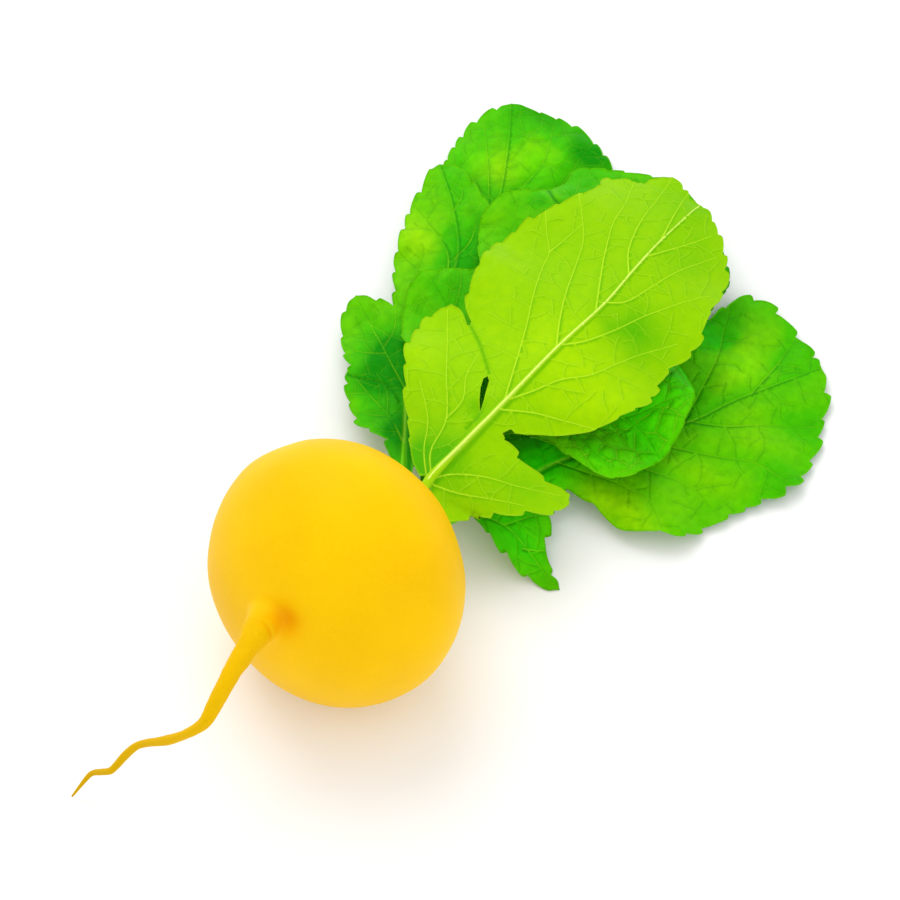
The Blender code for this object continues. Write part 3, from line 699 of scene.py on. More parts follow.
# Distance to the nearest vein of the net, as a share of a cell: bent cells, alike in shape and paint
def netDistance(tree, plan, scale, bend):
    coarse = addNode(tree, "ShaderNodeTexNoise", {"Vector": plan, "Scale": 1 / (blade["bendStep"] * mm), "Detail": 2.0},
                     output="Color")
    centred = addNode(tree, "ShaderNodeVectorMath", {0: coarse, 1: (0.5, 0.5, 0.5)}, operation="SUBTRACT")
    bent = addNode(tree, "ShaderNodeVectorMath", {0: centred, "Scale": bend}, operation="SCALE")
    place = addNode(tree, "ShaderNodeVectorMath", {0: plan, 1: bent}, operation="ADD")
    return addNode(tree, "ShaderNodeTexVoronoi", {"Vector": place, "Scale": scale, "Randomness": 0.9},
                   voronoi_dimensions="2D", feature="DISTANCE_TO_EDGE")


# Puckers the blade between the fine net of veins. The net is the same one that the leaf's material paints
def puckerTree():
    tree, given, names = newTree("leafPucker", {"Cells": 154.0, "Bend": 0.002, "Vein Rise": 0.0, "Cell Rise": 0.0003})
    plan = addNode(tree, "GeometryNodeInputNamedAttribute", {"Name": "netPlace"}, data_type="FLOAT_VECTOR")
    gain = addNode(tree, "GeometryNodeInputNamedAttribute", {"Name": "netGain"}, data_type="FLOAT")
    edge = netDistance(tree, plan, given["Cells"], given["Bend"])
    rise = addNode(tree, "ShaderNodeMapRange", {"Value": edge, "From Min": 0.0, "From Max": 0.32,
                                                "To Min": given["Vein Rise"], "To Max": given["Cell Rise"]},
                   interpolation_type="SMOOTHSTEP")
    height = addNode(tree, "ShaderNodeMath", {0: rise, 1: gain}, operation="MULTIPLY")
    offset = addNode(tree, "ShaderNodeCombineXYZ", {"Z": height})
    endTree(tree, addNode(tree, "GeometryNodeSetPosition", {"Geometry": given["Geometry"], "Offset": offset}), given)
    return tree, names


# A grooved stalk along a path: thickness comes from the path's points
def stalkTree():
    tree, given, names = newTree("leafStalk", {"Sides": 20, "Groove": 0.3})
    path = addNode(tree, "GeometryNodeMeshToCurve", {"Mesh": given["Geometry"]})
    upright = addNode(tree, "GeometryNodeSetCurveNormal", {"Curve": path}, mode="Z_UP")
    ring = addNode(tree, "GeometryNodeCurvePrimitiveCircle", {"Resolution": given["Sides"], "Radius": 1.0})
    across = addNode(tree, "ShaderNodeSeparateXYZ", {0: addNode(tree, "GeometryNodeInputPosition")}, output="Y")
    dent = addNode(tree, "ShaderNodeMapRange", {"Value": across, "From Min": 0.55, "From Max": 1.0, "To Min": 0.0,
                                                "To Max": given["Groove"]}, interpolation_type="SMOOTHSTEP")
    lowered = addNode(tree, "ShaderNodeMath", {0: 0.0, 1: dent}, operation="SUBTRACT")
    offset = addNode(tree, "ShaderNodeCombineXYZ", {"Y": lowered})
    grooved = addNode(tree, "GeometryNodeSetPosition", {"Geometry": ring, "Offset": offset})
    thickness = addNode(tree, "GeometryNodeInputNamedAttribute", {"Name": "thickness"}, data_type="FLOAT")
    tube = addNode(tree, "GeometryNodeCurveToMesh",
                   {"Curve": upright, "Profile Curve": grooved, "Scale": thickness, "Fill Caps": True})
    endTree(tree, addNode(tree, "GeometryNodeSetShadeSmooth", {"Geometry": tube}), given)
    return tree, names


# Stubs of broken rootlets, spread over the root where its rootletShare is high
def rootletTree():
    tree, given, names = newTree("rootlets", {"Density": 9000.0, "Length": 0.0015, "Radius": 0.0003, "Seed": 4})
    share = addNode(tree, "GeometryNodeInputNamedAttribute", {"Name": "rootletShare"}, data_type="FLOAT")
    density = addNode(tree, "ShaderNodeMath", {0: share, 1: given["Density"]}, operation="MULTIPLY")
    points = addNode(tree, "GeometryNodeDistributePointsOnFaces",
                     {"Mesh": given["Geometry"], "Density": density, "Seed": given["Seed"]})
    narrow = addNode(tree, "ShaderNodeMath", {0: given["Radius"], 1: 0.35}, operation="MULTIPLY")
    stub = addNode(tree, "GeometryNodeMeshCone", {"Vertices": 10, "Side Segments": 3, "Radius Top": narrow,
                                                  "Radius Bottom": given["Radius"], "Depth": given["Length"]})
    size = addNode(tree, "FunctionNodeRandomValue", {2: 0.5, 3: 1.3, "Seed": given["Seed"]}, output=1, data_type="FLOAT")
    stubs = addNode(tree, "GeometryNodeInstanceOnPoints", {"Points": points, "Instance": stub, "Scale": size,
                                                           "Rotation": points.node.outputs["Rotation"]})
    endTree(tree, addNode(tree, "GeometryNodeSetShadeSmooth", {"Geometry": stubs}), given)
    return tree, names


# A value for the left half of a leaf and one for the right, blended over the rib
def bySide(pair, side, reach):
    return pair[1] + (pair[0] - pair[1]) * smoothStep(side, -reach, reach)


# noise_vector adds offsets that follow the clock unless they are seeded
noise.seed_set(1)


# How bright each place of a leaf is: its own tone, its two halves, and patches with uneven outlines.
# The halves and most patches are painted light and shade, the rest the leaf's own colour
def leafToneAndShade(leaf, places, side):
    drift = [noise.noise_vector((x / blade["patchStep"], y / blade["patchStep"], leaf["seed"]))[:2] for x, y in places]
    places = places + blade["patchBend"] * np.array(drift)
    tone = leaf["tone"] + bySide(leaf["litAndShadedHalves"], side, 0.8)
    for x, y, reach, change in leaf["toneAndShadePatches"]:
        tone += change * np.exp(-((places - (x, y)) ** 2).sum(1) / reach ** 2)
    return tone


def glowShare(leaf, places):
    return np.clip(sum(share * np.exp(-((places - (x, y)) ** 2).sum(1) / reach ** 2)
                       for x, y, reach, share in leaf["glow"]) + np.zeros(len(places)), 0.0, 1.0)


# One leaf: a fine blade that keeps the frame's form, with raised ribs below and channels above
def makeLeaf(name, material):
    leaf = leaves[name]
    rib = fineRibs[name]
    total = runLength(rib[:, :2])[-1]
    veins = sideVeins(name)
    fine = fineVeins(name, veins)
    places, triangles = planMesh(name, veins, fine)
    middle = bladeHeight(name, places)
    _, along, side = nearestOnRib(rib, places)
    ribSize = ribRadius(along, total)
    mainAway, _ = nearestOf(np.vstack([path for path, _ in veins]), places)
    veinPoints = np.vstack([path for path, _ in veins + fine])
    veinAway, nearest = nearestOf(veinPoints, places)
    veinSize = np.concatenate([radius for _, radius in veins + fine])[nearest]
    fading = [1 - blade["veinFade"] * np.linspace(0.0, 1.0, len(path)) for path, _ in veins]
    paleShare, flankShadeShare = (np.concatenate(fading + [np.full(len(path), blade[key]) for path, _ in fine])[nearest]
                             for key in ("finePale", "fineFlankShade"))
    border = openEdges(triangles)
    margin, _ = nearestOf(places[np.unique(border)], places)

    ribAway = np.abs(side) / ribSize
    sideAway = veinAway / veinSize
    anyAway = np.minimum(np.clip(np.abs(side) - ribSize, 0, None), mainAway)
    cells = 1 - np.exp(-(anyAway / blade["quiltReach"]) ** 2)
    inland = smoothStep(margin, 0.0, 6.0)
    quilt = leaf["quilt"] * (1 - cells if leaf["underside"] else cells) * (0.4 + 0.6 * inland)
    crimp = np.array([noise.noise((x / 7.0, y / 7.0, leaf["seed"])) for x, y in places])
    middle = middle + quilt + blade["crimp"] * np.exp(-margin / 5.0) * crimp * smoothStep(along, 20, 45)

    tall = blade["ribTall"][0] + (blade["ribTall"][1] - blade["ribTall"][0]) * smoothStep(along, 15, 60)
    ridge = tall * ribSize * np.exp(-(ribAway / 0.8) ** 2.4)
    ridge = np.maximum(ridge, blade["veinTall"] * veinSize * np.exp(-(sideAway / 0.9) ** 2))
    channel = 0.35 * ribSize * np.exp(-(ribAway / 0.7) ** 2) + 1.1 * veinSize * np.exp(-(sideAway / 1.1) ** 2)
    thick = blade["edgeThickness"] + (blade["thickness"] - blade["edgeThickness"]) * smoothStep(margin, 0, 3)
    above, below = (ridge, -channel) if leaf["underside"] else (-channel, ridge)
    below = np.maximum(middle - thick / 2 - below, 0.03)
    above = np.maximum(middle + thick / 2 + above, below + 0.12)

    ribPoints = smoothPath(rib[:, :2], 0.3)
    fromRib = places - ribPoints[nearestOf(ribPoints, places)[1]]
    fromVein = places - veinPoints[nearest]
    # Painted shade: a darker flank beside the rib and the veins, strongest on the side away from the lamp
    ribFlankShade = np.exp(-((np.abs(side) - 1.3 * ribSize) / (0.6 * ribSize)) ** 2)
    veinFlankShade = flankShadeShare * np.exp(-((veinAway - 1.9 * veinSize) / (1.2 * veinSize)) ** 2)
    flankShade = np.zeros(len(places))
    for away, share in ((fromRib, ribFlankShade), (fromVein, veinFlankShade)):
        facing = away @ blade["shadeSide"] / (np.linalg.norm(away, axis=1) + 0.01)
        flankShade = np.maximum(flankShade, share * (0.25 + 0.75 * smoothStep(facing, -0.2, 0.5)))
    # Each seam: a dark line of painted shade in its fold, over a shallow real groove
    for path in seamPaths(name):
        fold = np.exp(-(nearestOf(path, places)[0] / 0.55) ** 2)
        flankShade = np.maximum(flankShade, fold)
        above = np.maximum(above - 0.3 * fold, below + 0.12)
    patchy = np.array([noise.noise((x / 11.0, y / 11.0, leaf["seed"] + 9.0)) for x, y in places])
    pale = np.ones(len(places)) if leaf["underside"] else np.clip(0.65 + 1.1 * patchy, 0.1, 1.0)

    netReach = smoothStep(anyAway, 0.3, 2.0) * smoothStep(margin, 0.0, 3.0)

    count = len(places)
    walls = [(a, b + count, b) for a, b in border] + [(a, a + count, b + count) for a, b in border]
    faces = np.vstack((triangles, triangles[:, ::-1] + count, np.array(walls)[:, ::-1]))
    plan = np.vstack((places, places))
    values = {
        "netPlace": np.column_stack((plan * mm / leaf["netScale"], np.zeros(2 * count))),
        "netGain": np.tile(netReach * bySide(leaf["pucker"], side, 3.0), 2),
        "netShade": np.tile(netReach * bySide(leaf["netShow"], side, 3.0), 2),
        "glow": np.tile(glowShare(leaf, places), 2),
        "veinLine": np.tile(np.exp(-(sideAway / 0.9) ** 2), 2),
        "veinPale": np.tile(pale * paleShare, 2),
        # painted shade on the flank of the rib and veins away from the lamp, and along the seams' folds
        "besideVein": np.tile(flankShade, 2),
        "ribLine": np.tile(np.exp(-(ribAway / 0.85) ** 4), 2),
        "ribCore": np.tile(np.exp(-(ribAway / 0.32) ** 2), 2),
        "alongRib": np.tile(smoothStep(along / total, 0.45, 0.8), 2),
        "fromMargin": np.tile(margin * mm, 2),
        # the leaf's own tone with painted light and shade, and the painted shade of the quilt beside the side veins
        "tone": np.tile(leafToneAndShade(leaf, places, side) + blade["quiltShade"] * (cells - 0.5) * inland, 2),
    }
    obj = buildMesh(name + "_blade", np.column_stack((plan, np.concatenate((above, below)))), faces.tolist(), values)
    tree, names = puckerTree()
    lift = "Vein Rise" if leaf["underside"] else "Cell Rise"
    settings = {"Vein Rise": 0.0, "Cell Rise": 0.0, "Cells": 1 / (blade["cell"] * mm), "Bend": blade["netBend"] * mm,
                "Material": material}
    settings[lift] = 1.0 * mm
    applyTree(obj, tree, names, settings)
    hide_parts(name)
    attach(obj, "root")
    print(name, "blade:", len(obj.data.polygons), "faces")


# The bare stalk from the crown into the blade, where it sinks into the rib
def makeStalk(name, material):
    leaf = leaves[name]
    rib = ribPath(leaf, 1.2)
    along = runLength(rib)
    radius = ribRadius(along, along[-1])
    line = rib.copy()
    lift = (-1, 1)[leaf["underside"]] * smoothStep(along, 4.0, 16.0) * radius * 0.55
    line[:, 2] = bladeHeight(name, rib[:, :2]) + lift
    line[0] -= 0.6 * crownAxis
    radius = radius * (1 - blade["stalkFade"] * smoothStep(along, 16.0, 34.0))
    radius += 0.35 * np.exp(-along / 1.6)
    kept = along < blade["stalkLength"]
    mesh = bpy.data.meshes.new(name + "_stalk")
    mesh.from_pydata((line[kept] * mm).tolist(), [(i, i + 1) for i in range(int(kept.sum()) - 1)], [])
    attribute = mesh.attributes.new("thickness", "FLOAT", "POINT")
    attribute.data.foreach_set("value", (radius[kept] * mm).astype(np.float32))
    obj = bpy.data.objects.new(name + "_stalk", mesh)
    bpy.context.scene.collection.objects.link(obj)
    tree, names = stalkTree()
    applyTree(obj, tree, names, {"Sides": 24, "Groove": 0.3, "Material": material})
    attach(obj, "root")


# Centres and radii of the root's rings, from the crown to the root tip
def rootRings():
    top = pole + root["neckLength"]
    outline = [(radius, top + rise) for radius, rise in root["neck"]]
    for turn in np.radians(np.arange(18.0, 162.0, 3.0)):
        outline.append((girth * math.sin(turn), pole * math.cos(turn)))
    outline += [(radius, -pole - reach) for radius, reach in root["collar"]]
    outline = smoothPath(outline, root["ringStep"])
    depth = pole - root["sunk"]
    path = smoothPath((bulbCentre - depth * crownAxis, root["taprootStart"]) + root["taproot"], 0.5)
    along = runLength(path)
    sunk = -outline[:, 1] - depth
    bent = smoothStep(sunk, 4.0, 9.0)[:, None]
    centres = bulbCentre + outline[:, 1:] * crownAxis
    centres = centres + bent * (sampled(path, np.clip(sunk, 0, None)) - centres)
    radii = outline[:, 0]
    beyond = np.arange(sunk[-1] + 0.5, along[-1], root["taprootStep"])
    thin = np.interp(beyond / along[-1], np.linspace(0, 1, len(root["taprootRadii"])), root["taprootRadii"])
    thin = radii[-1] + (thin - radii[-1]) * smoothStep(beyond, sunk[-1], sunk[-1] + 6.0)
    heights = np.concatenate((-outline[:, 1], depth + beyond))
    return np.vstack((centres, sampled(path, beyond))), np.concatenate((radii, thin)), heights


# Smooth noise, from -1 to 1, at each of many places
def noiseAt(places, size):
    return np.array([noise.noise(Vector(place) / size) for place in places])


def makeRoot(material):
    centres, radii, down = rootRings()
    tangent = np.gradient(centres, axis=0)
    tangent /= np.linalg.norm(tangent, axis=1)[:, None]
    across = crownLeft.copy()
    sides = root["sides"]
    turns = np.linspace(0, 2 * math.pi, sides, endpoint=False)
    places, outward = [], []
    for i, (centre, radius) in enumerate(zip(centres, radii)):
        across = across - (across @ tangent[i]) * tangent[i]
        across /= np.linalg.norm(across)
        upward = np.cross(across, tangent[i])
        away = np.cos(turns)[:, None] * across + np.sin(turns)[:, None] * upward
        places.append(centre + radius * away)
        outward.append(away)
    places, outward = np.vstack(places), np.vstack(outward)
    down, size = np.repeat(down, sides), np.repeat(radii, sides)
    slim = smoothStep(down, pole + 1.0, pole + 9.0)

    lumps = sum(height * noiseAt(places, reach) for reach, height in root["lumps"])
    kinks = sum(height * noiseAt(places, reach) for reach, height in root["kinks"])
    ripple = noiseAt(np.column_stack((down / 0.9, places[:, :2] / 14.0)), 1.0)
    toCrown = np.exp(-np.clip(down + pole, 0, None) / 4.0)
    relief = (1 - slim) * lumps + root["wrinkle"] * toCrown * ripple
    relief += slim * np.minimum(size, 3.0) * (kinks + root["wrinkle"] * 0.6 * ripple)
    facing = 0.5 + 0.5 * np.clip(outward @ root["foldSide"], -1, 1)
    fold = np.exp(-((down - pole - 5.2) / 0.45) ** 2) * facing
    crease = np.exp(-((down - pole - 6.3) / 0.5) ** 2) * facing
    relief += root["foldHeight"] * (fold - crease)
    dent = np.exp(-((places - root["hollow"]) ** 2).sum(1) / (2 * root["hollowReach"] ** 2)) * (1 - slim)
    places = places + (relief * smoothStep(size, 0.0, 4.0))[:, None] * outward
    places = places + (root["hollowDepth"] * dent)[:, None] * crownAxis
    places[:, 2] = softMax(places[:, 2], 0.0, 0.5) - 0.125 * np.exp(-(places[:, 2] / 0.3) ** 2)
    places[:, 2] = np.maximum(places[:, 2], 0.0)

    rings = len(radii)
    index = np.arange(rings * sides).reshape(rings, sides)
    a, b = index[:-1], index[1:]
    quads = np.stack((a, np.roll(a, -1, 1), np.roll(b, -1, 1), b), axis=-1).reshape(-1, 4)
    faces = quads.tolist() + [index[0][::-1].tolist(), index[-1].tolist()]
    values = {
        "alongRoot": down * mm,
        "aroundRoot": np.tile(turns, rings),
        "taprootShare": slim,
        "hollowShade": np.maximum(dent ** 0.8, 0.7 * crease),
        "crownShade": toCrown,
        "rootletShare": smoothStep(down, pole + 12.0, pole + 40.0),
    }
    obj = buildMesh("root_skin", places, faces, values)
    obj.data.materials.append(material)
    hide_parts("root")
    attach(obj, "root")
    print("root:", len(obj.data.polygons), "faces")

    stubs = bpy.data.objects.new("root_rootlets", obj.data.copy())
    bpy.context.scene.collection.objects.link(stubs)
    tree, names = rootletTree()
    applyTree(stubs, tree, names, {"Density": 22000.0, "Length": 1.3 * mm, "Radius": 0.34 * mm, "Seed": 4,
                                   "Material": material})
    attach(stubs, "root")
    print("rootlets:", len(stubs.data.polygons), "faces")


def newMaterial(name, finish):
    material = bpy.data.materials.new(name)
    material.use_nodes = True
    tree = material.node_tree
    shader = tree.nodes["Principled BSDF"]
    for label, value in finish.items():
        shader.inputs[label].default_value = value
    return material, tree, shader


# Lays coats of colour over a ground, each with its mask and its strength
def layCoats(tree, ground, coats):
    for mask, strength, colour in coats:
        share = addNode(tree, "ShaderNodeMath", {0: mask, 1: strength}, operation="MULTIPLY", use_clamp=True)
        ground = addNode(tree, "ShaderNodeMix", {0: share, 6: ground, 7: colour}, output=2, data_type="RGBA")
    return ground


# Relief too fine for the mesh: its parts, each with a weight, added up as a bump
def layRelief(tree, shader, distance, parts):
    height = 0.0
    for part, weight in parts:
        height = addNode(tree, "ShaderNodeMath", {0: part, 1: weight, 2: height}, operation="MULTIPLY_ADD")
    bump = addNode(tree, "ShaderNodeBump", {"Strength": 1.0, "Distance": distance, "Height": height})
    tree.links.new(bump, shader.inputs["Normal"])


# How the two sides of a leaf look: colours, then the strength of each coat, the net's relief and the cuticle.
# Bright and deep carry the painted light and shade of the tone as well as its own light and dark; deep is also the
# painted shade round the net's cells, crease the painted shade on the veins' flanks and in seams, glow painted light
looks = {
    "upper": {"glow": "#30F000", "blade": "#44BA00", "deep": "#008A00", "bright": "#9ADA00", "crease": "#088000", "vein": "#96D81A",
              "rib": "#72C80A", "core": "#AEE23A", "margin": "#6ECA0E", "netCreaseShadeShare": 0.35, "mottle": 0.22, "shadow": 0.85,
              "fineVein": 0.15, "netVein": 0.5, "sideVein": 0.6, "ribShare": 0.3, "coreShare": 0.5, "netRelief": -0.5,
              "ribFade": 0.85, "rough": 0.5, "gloss": 0.12, "sheenTint": (0.7, 1.0, 0.2, 1.0)},
    "lower": {"glow": "#B0F000", "blade": "#8AC600", "deep": "#4CAC00", "bright": "#AADA00", "crease": "#58AA00", "vein": "#C2EA2C",
              "rib": "#AADC14", "core": "#ECFA84", "margin": "#9ACE16", "netCreaseShadeShare": 0.3, "mottle": 0.12, "shadow": 0.85,
              "fineVein": 0.15, "netVein": 0.4, "sideVein": 0.95, "ribShare": 0.8, "coreShare": 0.95, "netRelief": 0.6,
              "ribFade": 0.0, "rough": 0.56, "gloss": 0.12, "sheenTint": (0.8, 1.0, 0.2, 1.0)},
}


# Living leaf blade: a thin waxy cuticle, which gives a soft greenish sheen, over flesh and a net of veins
def leafMaterial(name, look):
    material, tree, shader = newMaterial(name, {"Specular IOR Level": look["gloss"], "IOR": 1.42,
                                                "Specular Tint": look["sheenTint"]})
    colour = {key: linearColour(code) for key, code in look.items() if isinstance(code, str)}
    read = {label: addNode(tree, "ShaderNodeAttribute", output="Fac", attribute_name=label)
            for label in ("veinLine", "veinPale", "besideVein", "ribLine", "ribCore", "alongRib", "fromMargin", "tone",
                          "netShade", "glow")}
    plan = addNode(tree, "ShaderNodeAttribute", output="Vector", attribute_name="netPlace")
    edge = netDistance(tree, plan, 1 / (blade["cell"] * mm), blade["netBend"] * mm)
    fine = netDistance(tree, plan, 1 / (blade["fineCell"] * mm), blade["fineBend"] * mm)
    grain = addNode(tree, "ShaderNodeTexNoise", {"Vector": plan, "Scale": 1400.0, "Detail": 3.0})
    mottle = addNode(tree, "ShaderNodeTexNoise", {"Vector": plan, "Scale": 330.0, "Detail": 4.0})
    soft = {"up": (read["tone"], 0.0, 1.0, 0.0, 1.0), "down": (read["tone"], -1.0, 0.0, 1.0, 0.0),
            "net": (edge, 0.0, 0.04, 1.0, 0.0), "netSide": (edge, 0.03, 0.22, 1.0, 0.0),
            "fine": (fine, 0.0, 0.09, 1.0, 0.0), "mottle": (mottle, 0.4, 0.66, 0.0, 1.0), "margin": (read["fromMargin"], 0.1 * mm, 0.6 * mm, 1.0, 0.0),
            "rough": (grain, 0.3, 0.7, look["rough"] - 0.06, look["rough"] + 0.06)}
    masks = {label: addNode(tree, "ShaderNodeMapRange", {"Value": source, "From Min": low, "From Max": high,
                                                         "To Min": first, "To Max": last})
             for label, (source, low, high, first, last) in soft.items()}
    net = {label: addNode(tree, "ShaderNodeMath", {0: masks[label], 1: read["netShade"]}, operation="MULTIPLY")
           for label in ("net", "netSide", "fine")}
    paleVein = addNode(tree, "ShaderNodeMath", {0: read["veinLine"], 1: read["veinPale"]}, operation="MULTIPLY")
    kept = addNode(tree, "ShaderNodeMath", {0: read["alongRib"], 1: -look["ribFade"], 2: 1.0}, operation="MULTIPLY_ADD")
    paleRib, paleCore = (addNode(tree, "ShaderNodeMath", {0: read[label], 1: kept}, operation="MULTIPLY")
                         for label in ("ribLine", "ribCore"))
    flesh = layCoats(tree, colour["blade"], (
        # the tone's painted light and shade, with the leaf's own light and dark
        (masks["up"], 1.0, colour["bright"]),
        (masks["down"], 1.0, colour["deep"]),
        (read["glow"], 1.0, colour["glow"]),
        # painted shade round the net's puckered cells
        (net["netSide"], look["netCreaseShadeShare"], colour["deep"]),
        (masks["mottle"], look["mottle"], colour["deep"]),
        # painted shade on the veins' flanks and in the seams' folds
        (read["besideVein"], look["shadow"], colour["crease"]),
        (net["fine"], look["fineVein"], colour["vein"]),
        (net["net"], look["netVein"], colour["vein"]),
        (paleVein, look["sideVein"], colour["vein"]),
        (paleRib, look["ribShare"], colour["rib"]),
        (paleCore, look["coreShare"], colour["core"]),
        (masks["margin"], 0.6, colour["margin"]),
    ))
    tree.links.new(flesh, shader.inputs["Base Color"])
    tree.links.new(masks["rough"], shader.inputs["Roughness"])
    layRelief(tree, shader, 0.16 * mm, ((net["net"], look["netRelief"]), (net["fine"], 0.3 * look["netRelief"]),
                                        (grain, 0.22)))
    return material


# Leaf stalk: juicy and smooth with faint lengthwise fibres, so it shines a little more than the blade
def stalkMaterial(name, look):
    material, tree, shader = newMaterial(name, {"Specular IOR Level": look["gloss"], "IOR": 1.42,
                                                "Specular Tint": look["sheenTint"], "Roughness": look["rough"] - 0.06})
    place = addNode(tree, "ShaderNodeTexCoord", output="Object")
    fibres = addNode(tree, "ShaderNodeMapping", {"Vector": place, "Scale": (60.0, 900.0, 900.0)})
    streak = addNode(tree, "ShaderNodeTexNoise", {"Vector": fibres, "Scale": 1.0, "Detail": 3.0})
    flesh = layCoats(tree, linearColour(look["rib"]), ((streak, 0.5, linearColour(look["blade"])),))
    tree.links.new(flesh, shader.inputs["Base Color"])
    layRelief(tree, shader, 0.1 * mm, ((streak, 0.5),))
    return material


rootLook = {"skin": "#F6C400", "deep": "#EEBA00", "bright": "#F8CC16", "scar": "#D6A200", "taproot": "#E4B400",
            "rootTip": "#BE9400", "hollow": "#EA9E00", "crown": "#DABC00", "rough": 0.48, "gloss": 0.12,
            "sheenTint": (1.0, 0.86, 0.4, 1.0)}


# Root skin: thin, taut and waxy, with a broad soft shine on the bulb, duller and scarred on the taproot
def rootMaterial():
    material, tree, shader = newMaterial("rutabaga_skin", {"Specular IOR Level": rootLook["gloss"], "IOR": 1.44,
                                                           "Specular Tint": rootLook["sheenTint"]})
    colour = {key: linearColour(code) for key, code in rootLook.items() if isinstance(code, str)}
    place = addNode(tree, "ShaderNodeTexCoord", output="Object")
    read = {label: addNode(tree, "ShaderNodeAttribute", output="Fac", attribute_name=label)
            for label in ("taprootShare", "hollowShade", "crownShade", "alongRoot", "aroundRoot")}
    ringAlong = addNode(tree, "ShaderNodeMath", {0: read["alongRoot"], 1: 1100.0}, operation="MULTIPLY")
    ringAround = addNode(tree, "ShaderNodeMath", {0: read["aroundRoot"], 1: 2.2}, operation="MULTIPLY")
    ringPlace = addNode(tree, "ShaderNodeCombineXYZ", {"X": ringAlong, "Y": ringAround})
    broad = addNode(tree, "ShaderNodeTexNoise", {"Vector": place, "Scale": 28.0, "Detail": 3.0})
    grain = addNode(tree, "ShaderNodeTexNoise", {"Vector": place, "Scale": 900.0, "Detail": 4.0})
    rings = addNode(tree, "ShaderNodeTexNoise", {"Vector": ringPlace, "Scale": 1.0, "Detail": 4.0})
    pores = addNode(tree, "ShaderNodeTexVoronoi", {"Vector": place, "Scale": 240.0}, feature="F1")
    soft = {"broad": (broad, 0.35, 0.65, 0.0, 1.0), "grain": (grain, 0.45, 0.7, 0.0, 1.0),
            "rings": (rings, 0.5, 0.62, 0.0, 1.0), "pores": (pores, 0.05, 0.13, 1.0, 0.0),
            "tip": (read["alongRoot"], 60 * mm, 130 * mm, 0.0, 1.0),
            "rough": (grain, 0.3, 0.7, rootLook["rough"] - 0.05, rootLook["rough"] + 0.05)}
    masks = {label: addNode(tree, "ShaderNodeMapRange", {"Value": source, "From Min": low, "From Max": high,
                                                         "To Min": first, "To Max": last})
             for label, (source, low, high, first, last) in soft.items()}
    ends = addNode(tree, "ShaderNodeMath", {0: read["crownShade"], 1: read["taprootShare"]}, operation="MAXIMUM")
    scars = addNode(tree, "ShaderNodeMath", {0: masks["rings"], 1: ends}, operation="MULTIPLY")
    skin = layCoats(tree, colour["deep"], (
        (masks["broad"], 1.0, colour["skin"]),
        (masks["grain"], 0.2, colour["bright"]),
        (read["taprootShare"], 0.8, colour["taproot"]),
        (masks["tip"], 0.6, colour["rootTip"]),
        (scars, 0.14, colour["scar"]),
        (masks["pores"], 0.1, colour["scar"]),
        (read["crownShade"], 0.4, colour["crown"]),
        # painted shade in the dent beside the taproot and along the crease of the fold
        (read["hollowShade"], 1.0, colour["hollow"]),
    ))
    tree.links.new(skin, shader.inputs["Base Color"])
    dulled = addNode(tree, "ShaderNodeMath", {0: read["taprootShare"], 1: 0.14, 2: masks["rough"]}, operation="MULTIPLY_ADD")
    tree.links.new(dulled, shader.inputs["Roughness"])
    layRelief(tree, shader, 0.1 * mm, ((grain, 0.3), (scars, 0.35), (masks["pores"], -0.3)))
    return material


# Light, floor and camera, at the photograph's viewing angle
studio = {
    "azimuth": -50.0,  # degrees: the picture's right-hand direction, turned from +X about +Z
    "elevation": 58.0,  # degrees that the camera looks down
    "lens": 150.0,
    "sensor": 36.0,
    "pixel": 84.0 / 277.4,  # size of a picture element at the bulb's middle
    "bulbPixel": (336.0, 573.4),  # where the bulb's middle is in the picture
    "pictureSize": 900,
    "floorColour": "#FBFBFB",
    "sky": 0.95,
    "middle": (55.0, 10.0, 20.0),  # what the lamps aim at
    "lamps": {  # "from" counts towards the camera, the picture's top and its right; size and distance in metres
        "key": {"watts": 4.8, "size": 0.8, "distance": 1.1, "from": (0.42, 0.9, -0.22)},
        "fill": {"watts": 2.4, "size": 1.0, "distance": 1.4, "from": (0.68, -0.6, 0.5)},
    },
}


# Matt white paper under the root: no shine, only the faintest fibre
def floorMaterial():
    material, tree, shader = newMaterial("white_paper", {"Roughness": 0.9, "Specular IOR Level": 0.1})
    place = addNode(tree, "ShaderNodeTexCoord", output="Object")
    fibre = addNode(tree, "ShaderNodeTexNoise", {"Vector": place, "Scale": 300.0, "Detail": 2.0})
    paper = layCoats(tree, linearColour(studio["floorColour"]), ((fibre, 0.03, (0.8, 0.8, 0.8, 1.0)),))
    tree.links.new(paper, shader.inputs["Base Color"])
    return material


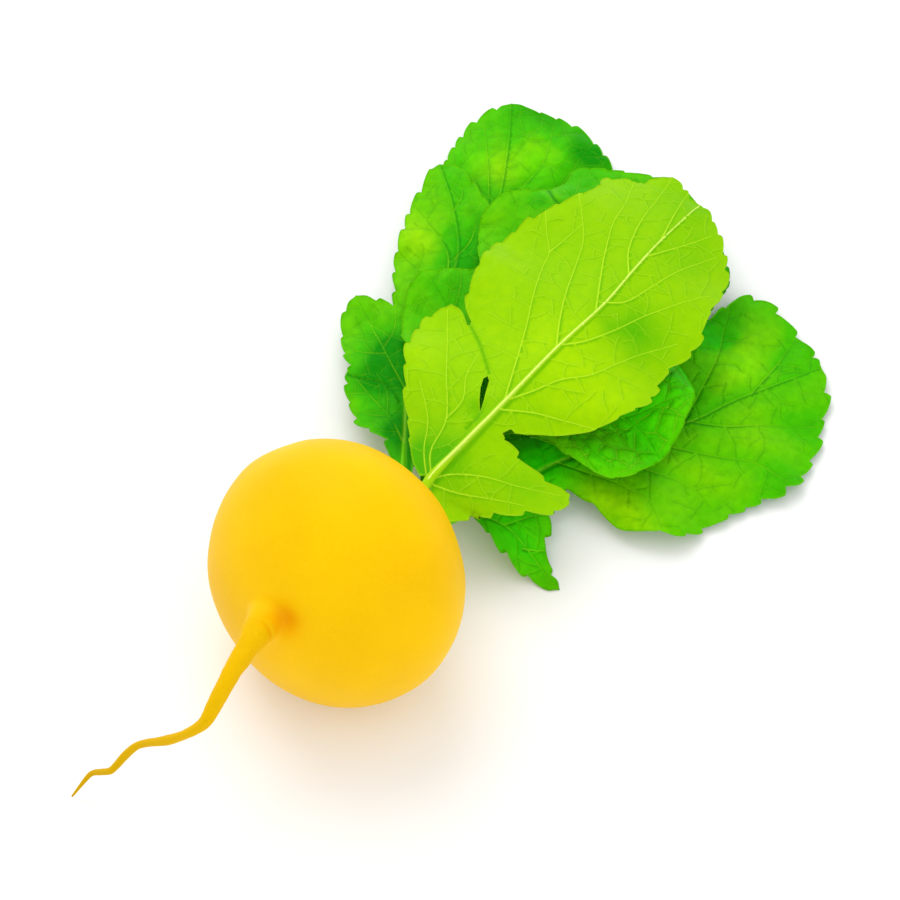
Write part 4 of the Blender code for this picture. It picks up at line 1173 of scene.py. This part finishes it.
def makeStudio():
    azimuth, elevation = math.radians(studio["azimuth"]), math.radians(studio["elevation"])
    right = Vector((math.cos(azimuth), math.sin(azimuth), 0.0))
    ahead = Vector((-math.sin(azimuth), math.cos(azimuth), 0.0))
    up = math.sin(elevation) * ahead + math.cos(elevation) * Vector((0, 0, 1))
    back = -math.cos(elevation) * ahead + math.sin(elevation) * Vector((0, 0, 1))
    distance = studio["pictureSize"] * studio["pixel"] * studio["lens"] / studio["sensor"]
    column, row = ((p - studio["pictureSize"] / 2) * studio["pixel"] for p in studio["bulbPixel"])
    eye = Vector(bulbCentre) - column * right + row * up + distance * back

    lens = bpy.data.cameras.new("camera")
    lens.lens, lens.sensor_width = studio["lens"], studio["sensor"]
    camera = bpy.data.objects.new("camera", lens)
    turn = Matrix((right, up, back)).transposed().to_4x4()
    camera.matrix_world = Matrix.Translation(eye * mm) @ turn
    bpy.context.scene.collection.objects.link(camera)
    bpy.context.scene.camera = camera

    for name, lamp in studio["lamps"].items():
        toCamera, upward, rightward = lamp["from"]
        direction = (toCamera * back + upward * up + rightward * right).normalized()
        light = bpy.data.lights.new(name, "AREA")
        light.energy, light.size = lamp["watts"], lamp["size"]
        holder = bpy.data.objects.new(name, light)
        holder.location = Vector(studio["middle"]) * mm + lamp["distance"] * direction
        holder.rotation_euler = direction.to_track_quat("Z", "Y").to_euler()
        bpy.context.scene.collection.objects.link(holder)

    world = bpy.data.worlds.new("studio")
    world.use_nodes = True
    world.node_tree.nodes["Background"].inputs["Color"].default_value = (1.0, 1.0, 1.0, 1.0)
    world.node_tree.nodes["Background"].inputs["Strength"].default_value = studio["sky"]
    bpy.context.scene.world = world
    bpy.context.scene.view_settings.view_transform = "Standard"

    bpy.ops.mesh.primitive_plane_add(size=6.0, location=(0.0, 0.0, -0.05 * mm))
    floor = bpy.context.object
    floor.name = "floor"
    floor.data.materials.append(floorMaterial())


makeStudio()
print("studio ready")
makeRoot(rootMaterial())
materials = {key: leafMaterial("leaf_" + key + "_side", look) for key, look in looks.items()}
stalks = {key: stalkMaterial("leaf_stalk_" + key, look) for key, look in looks.items()}
for leafName, leafSizes in leaves.items():
    makeLeaf(leafName, materials[leafSizes["look"]])
    makeStalk(leafName, stalks[leafSizes["look"]])
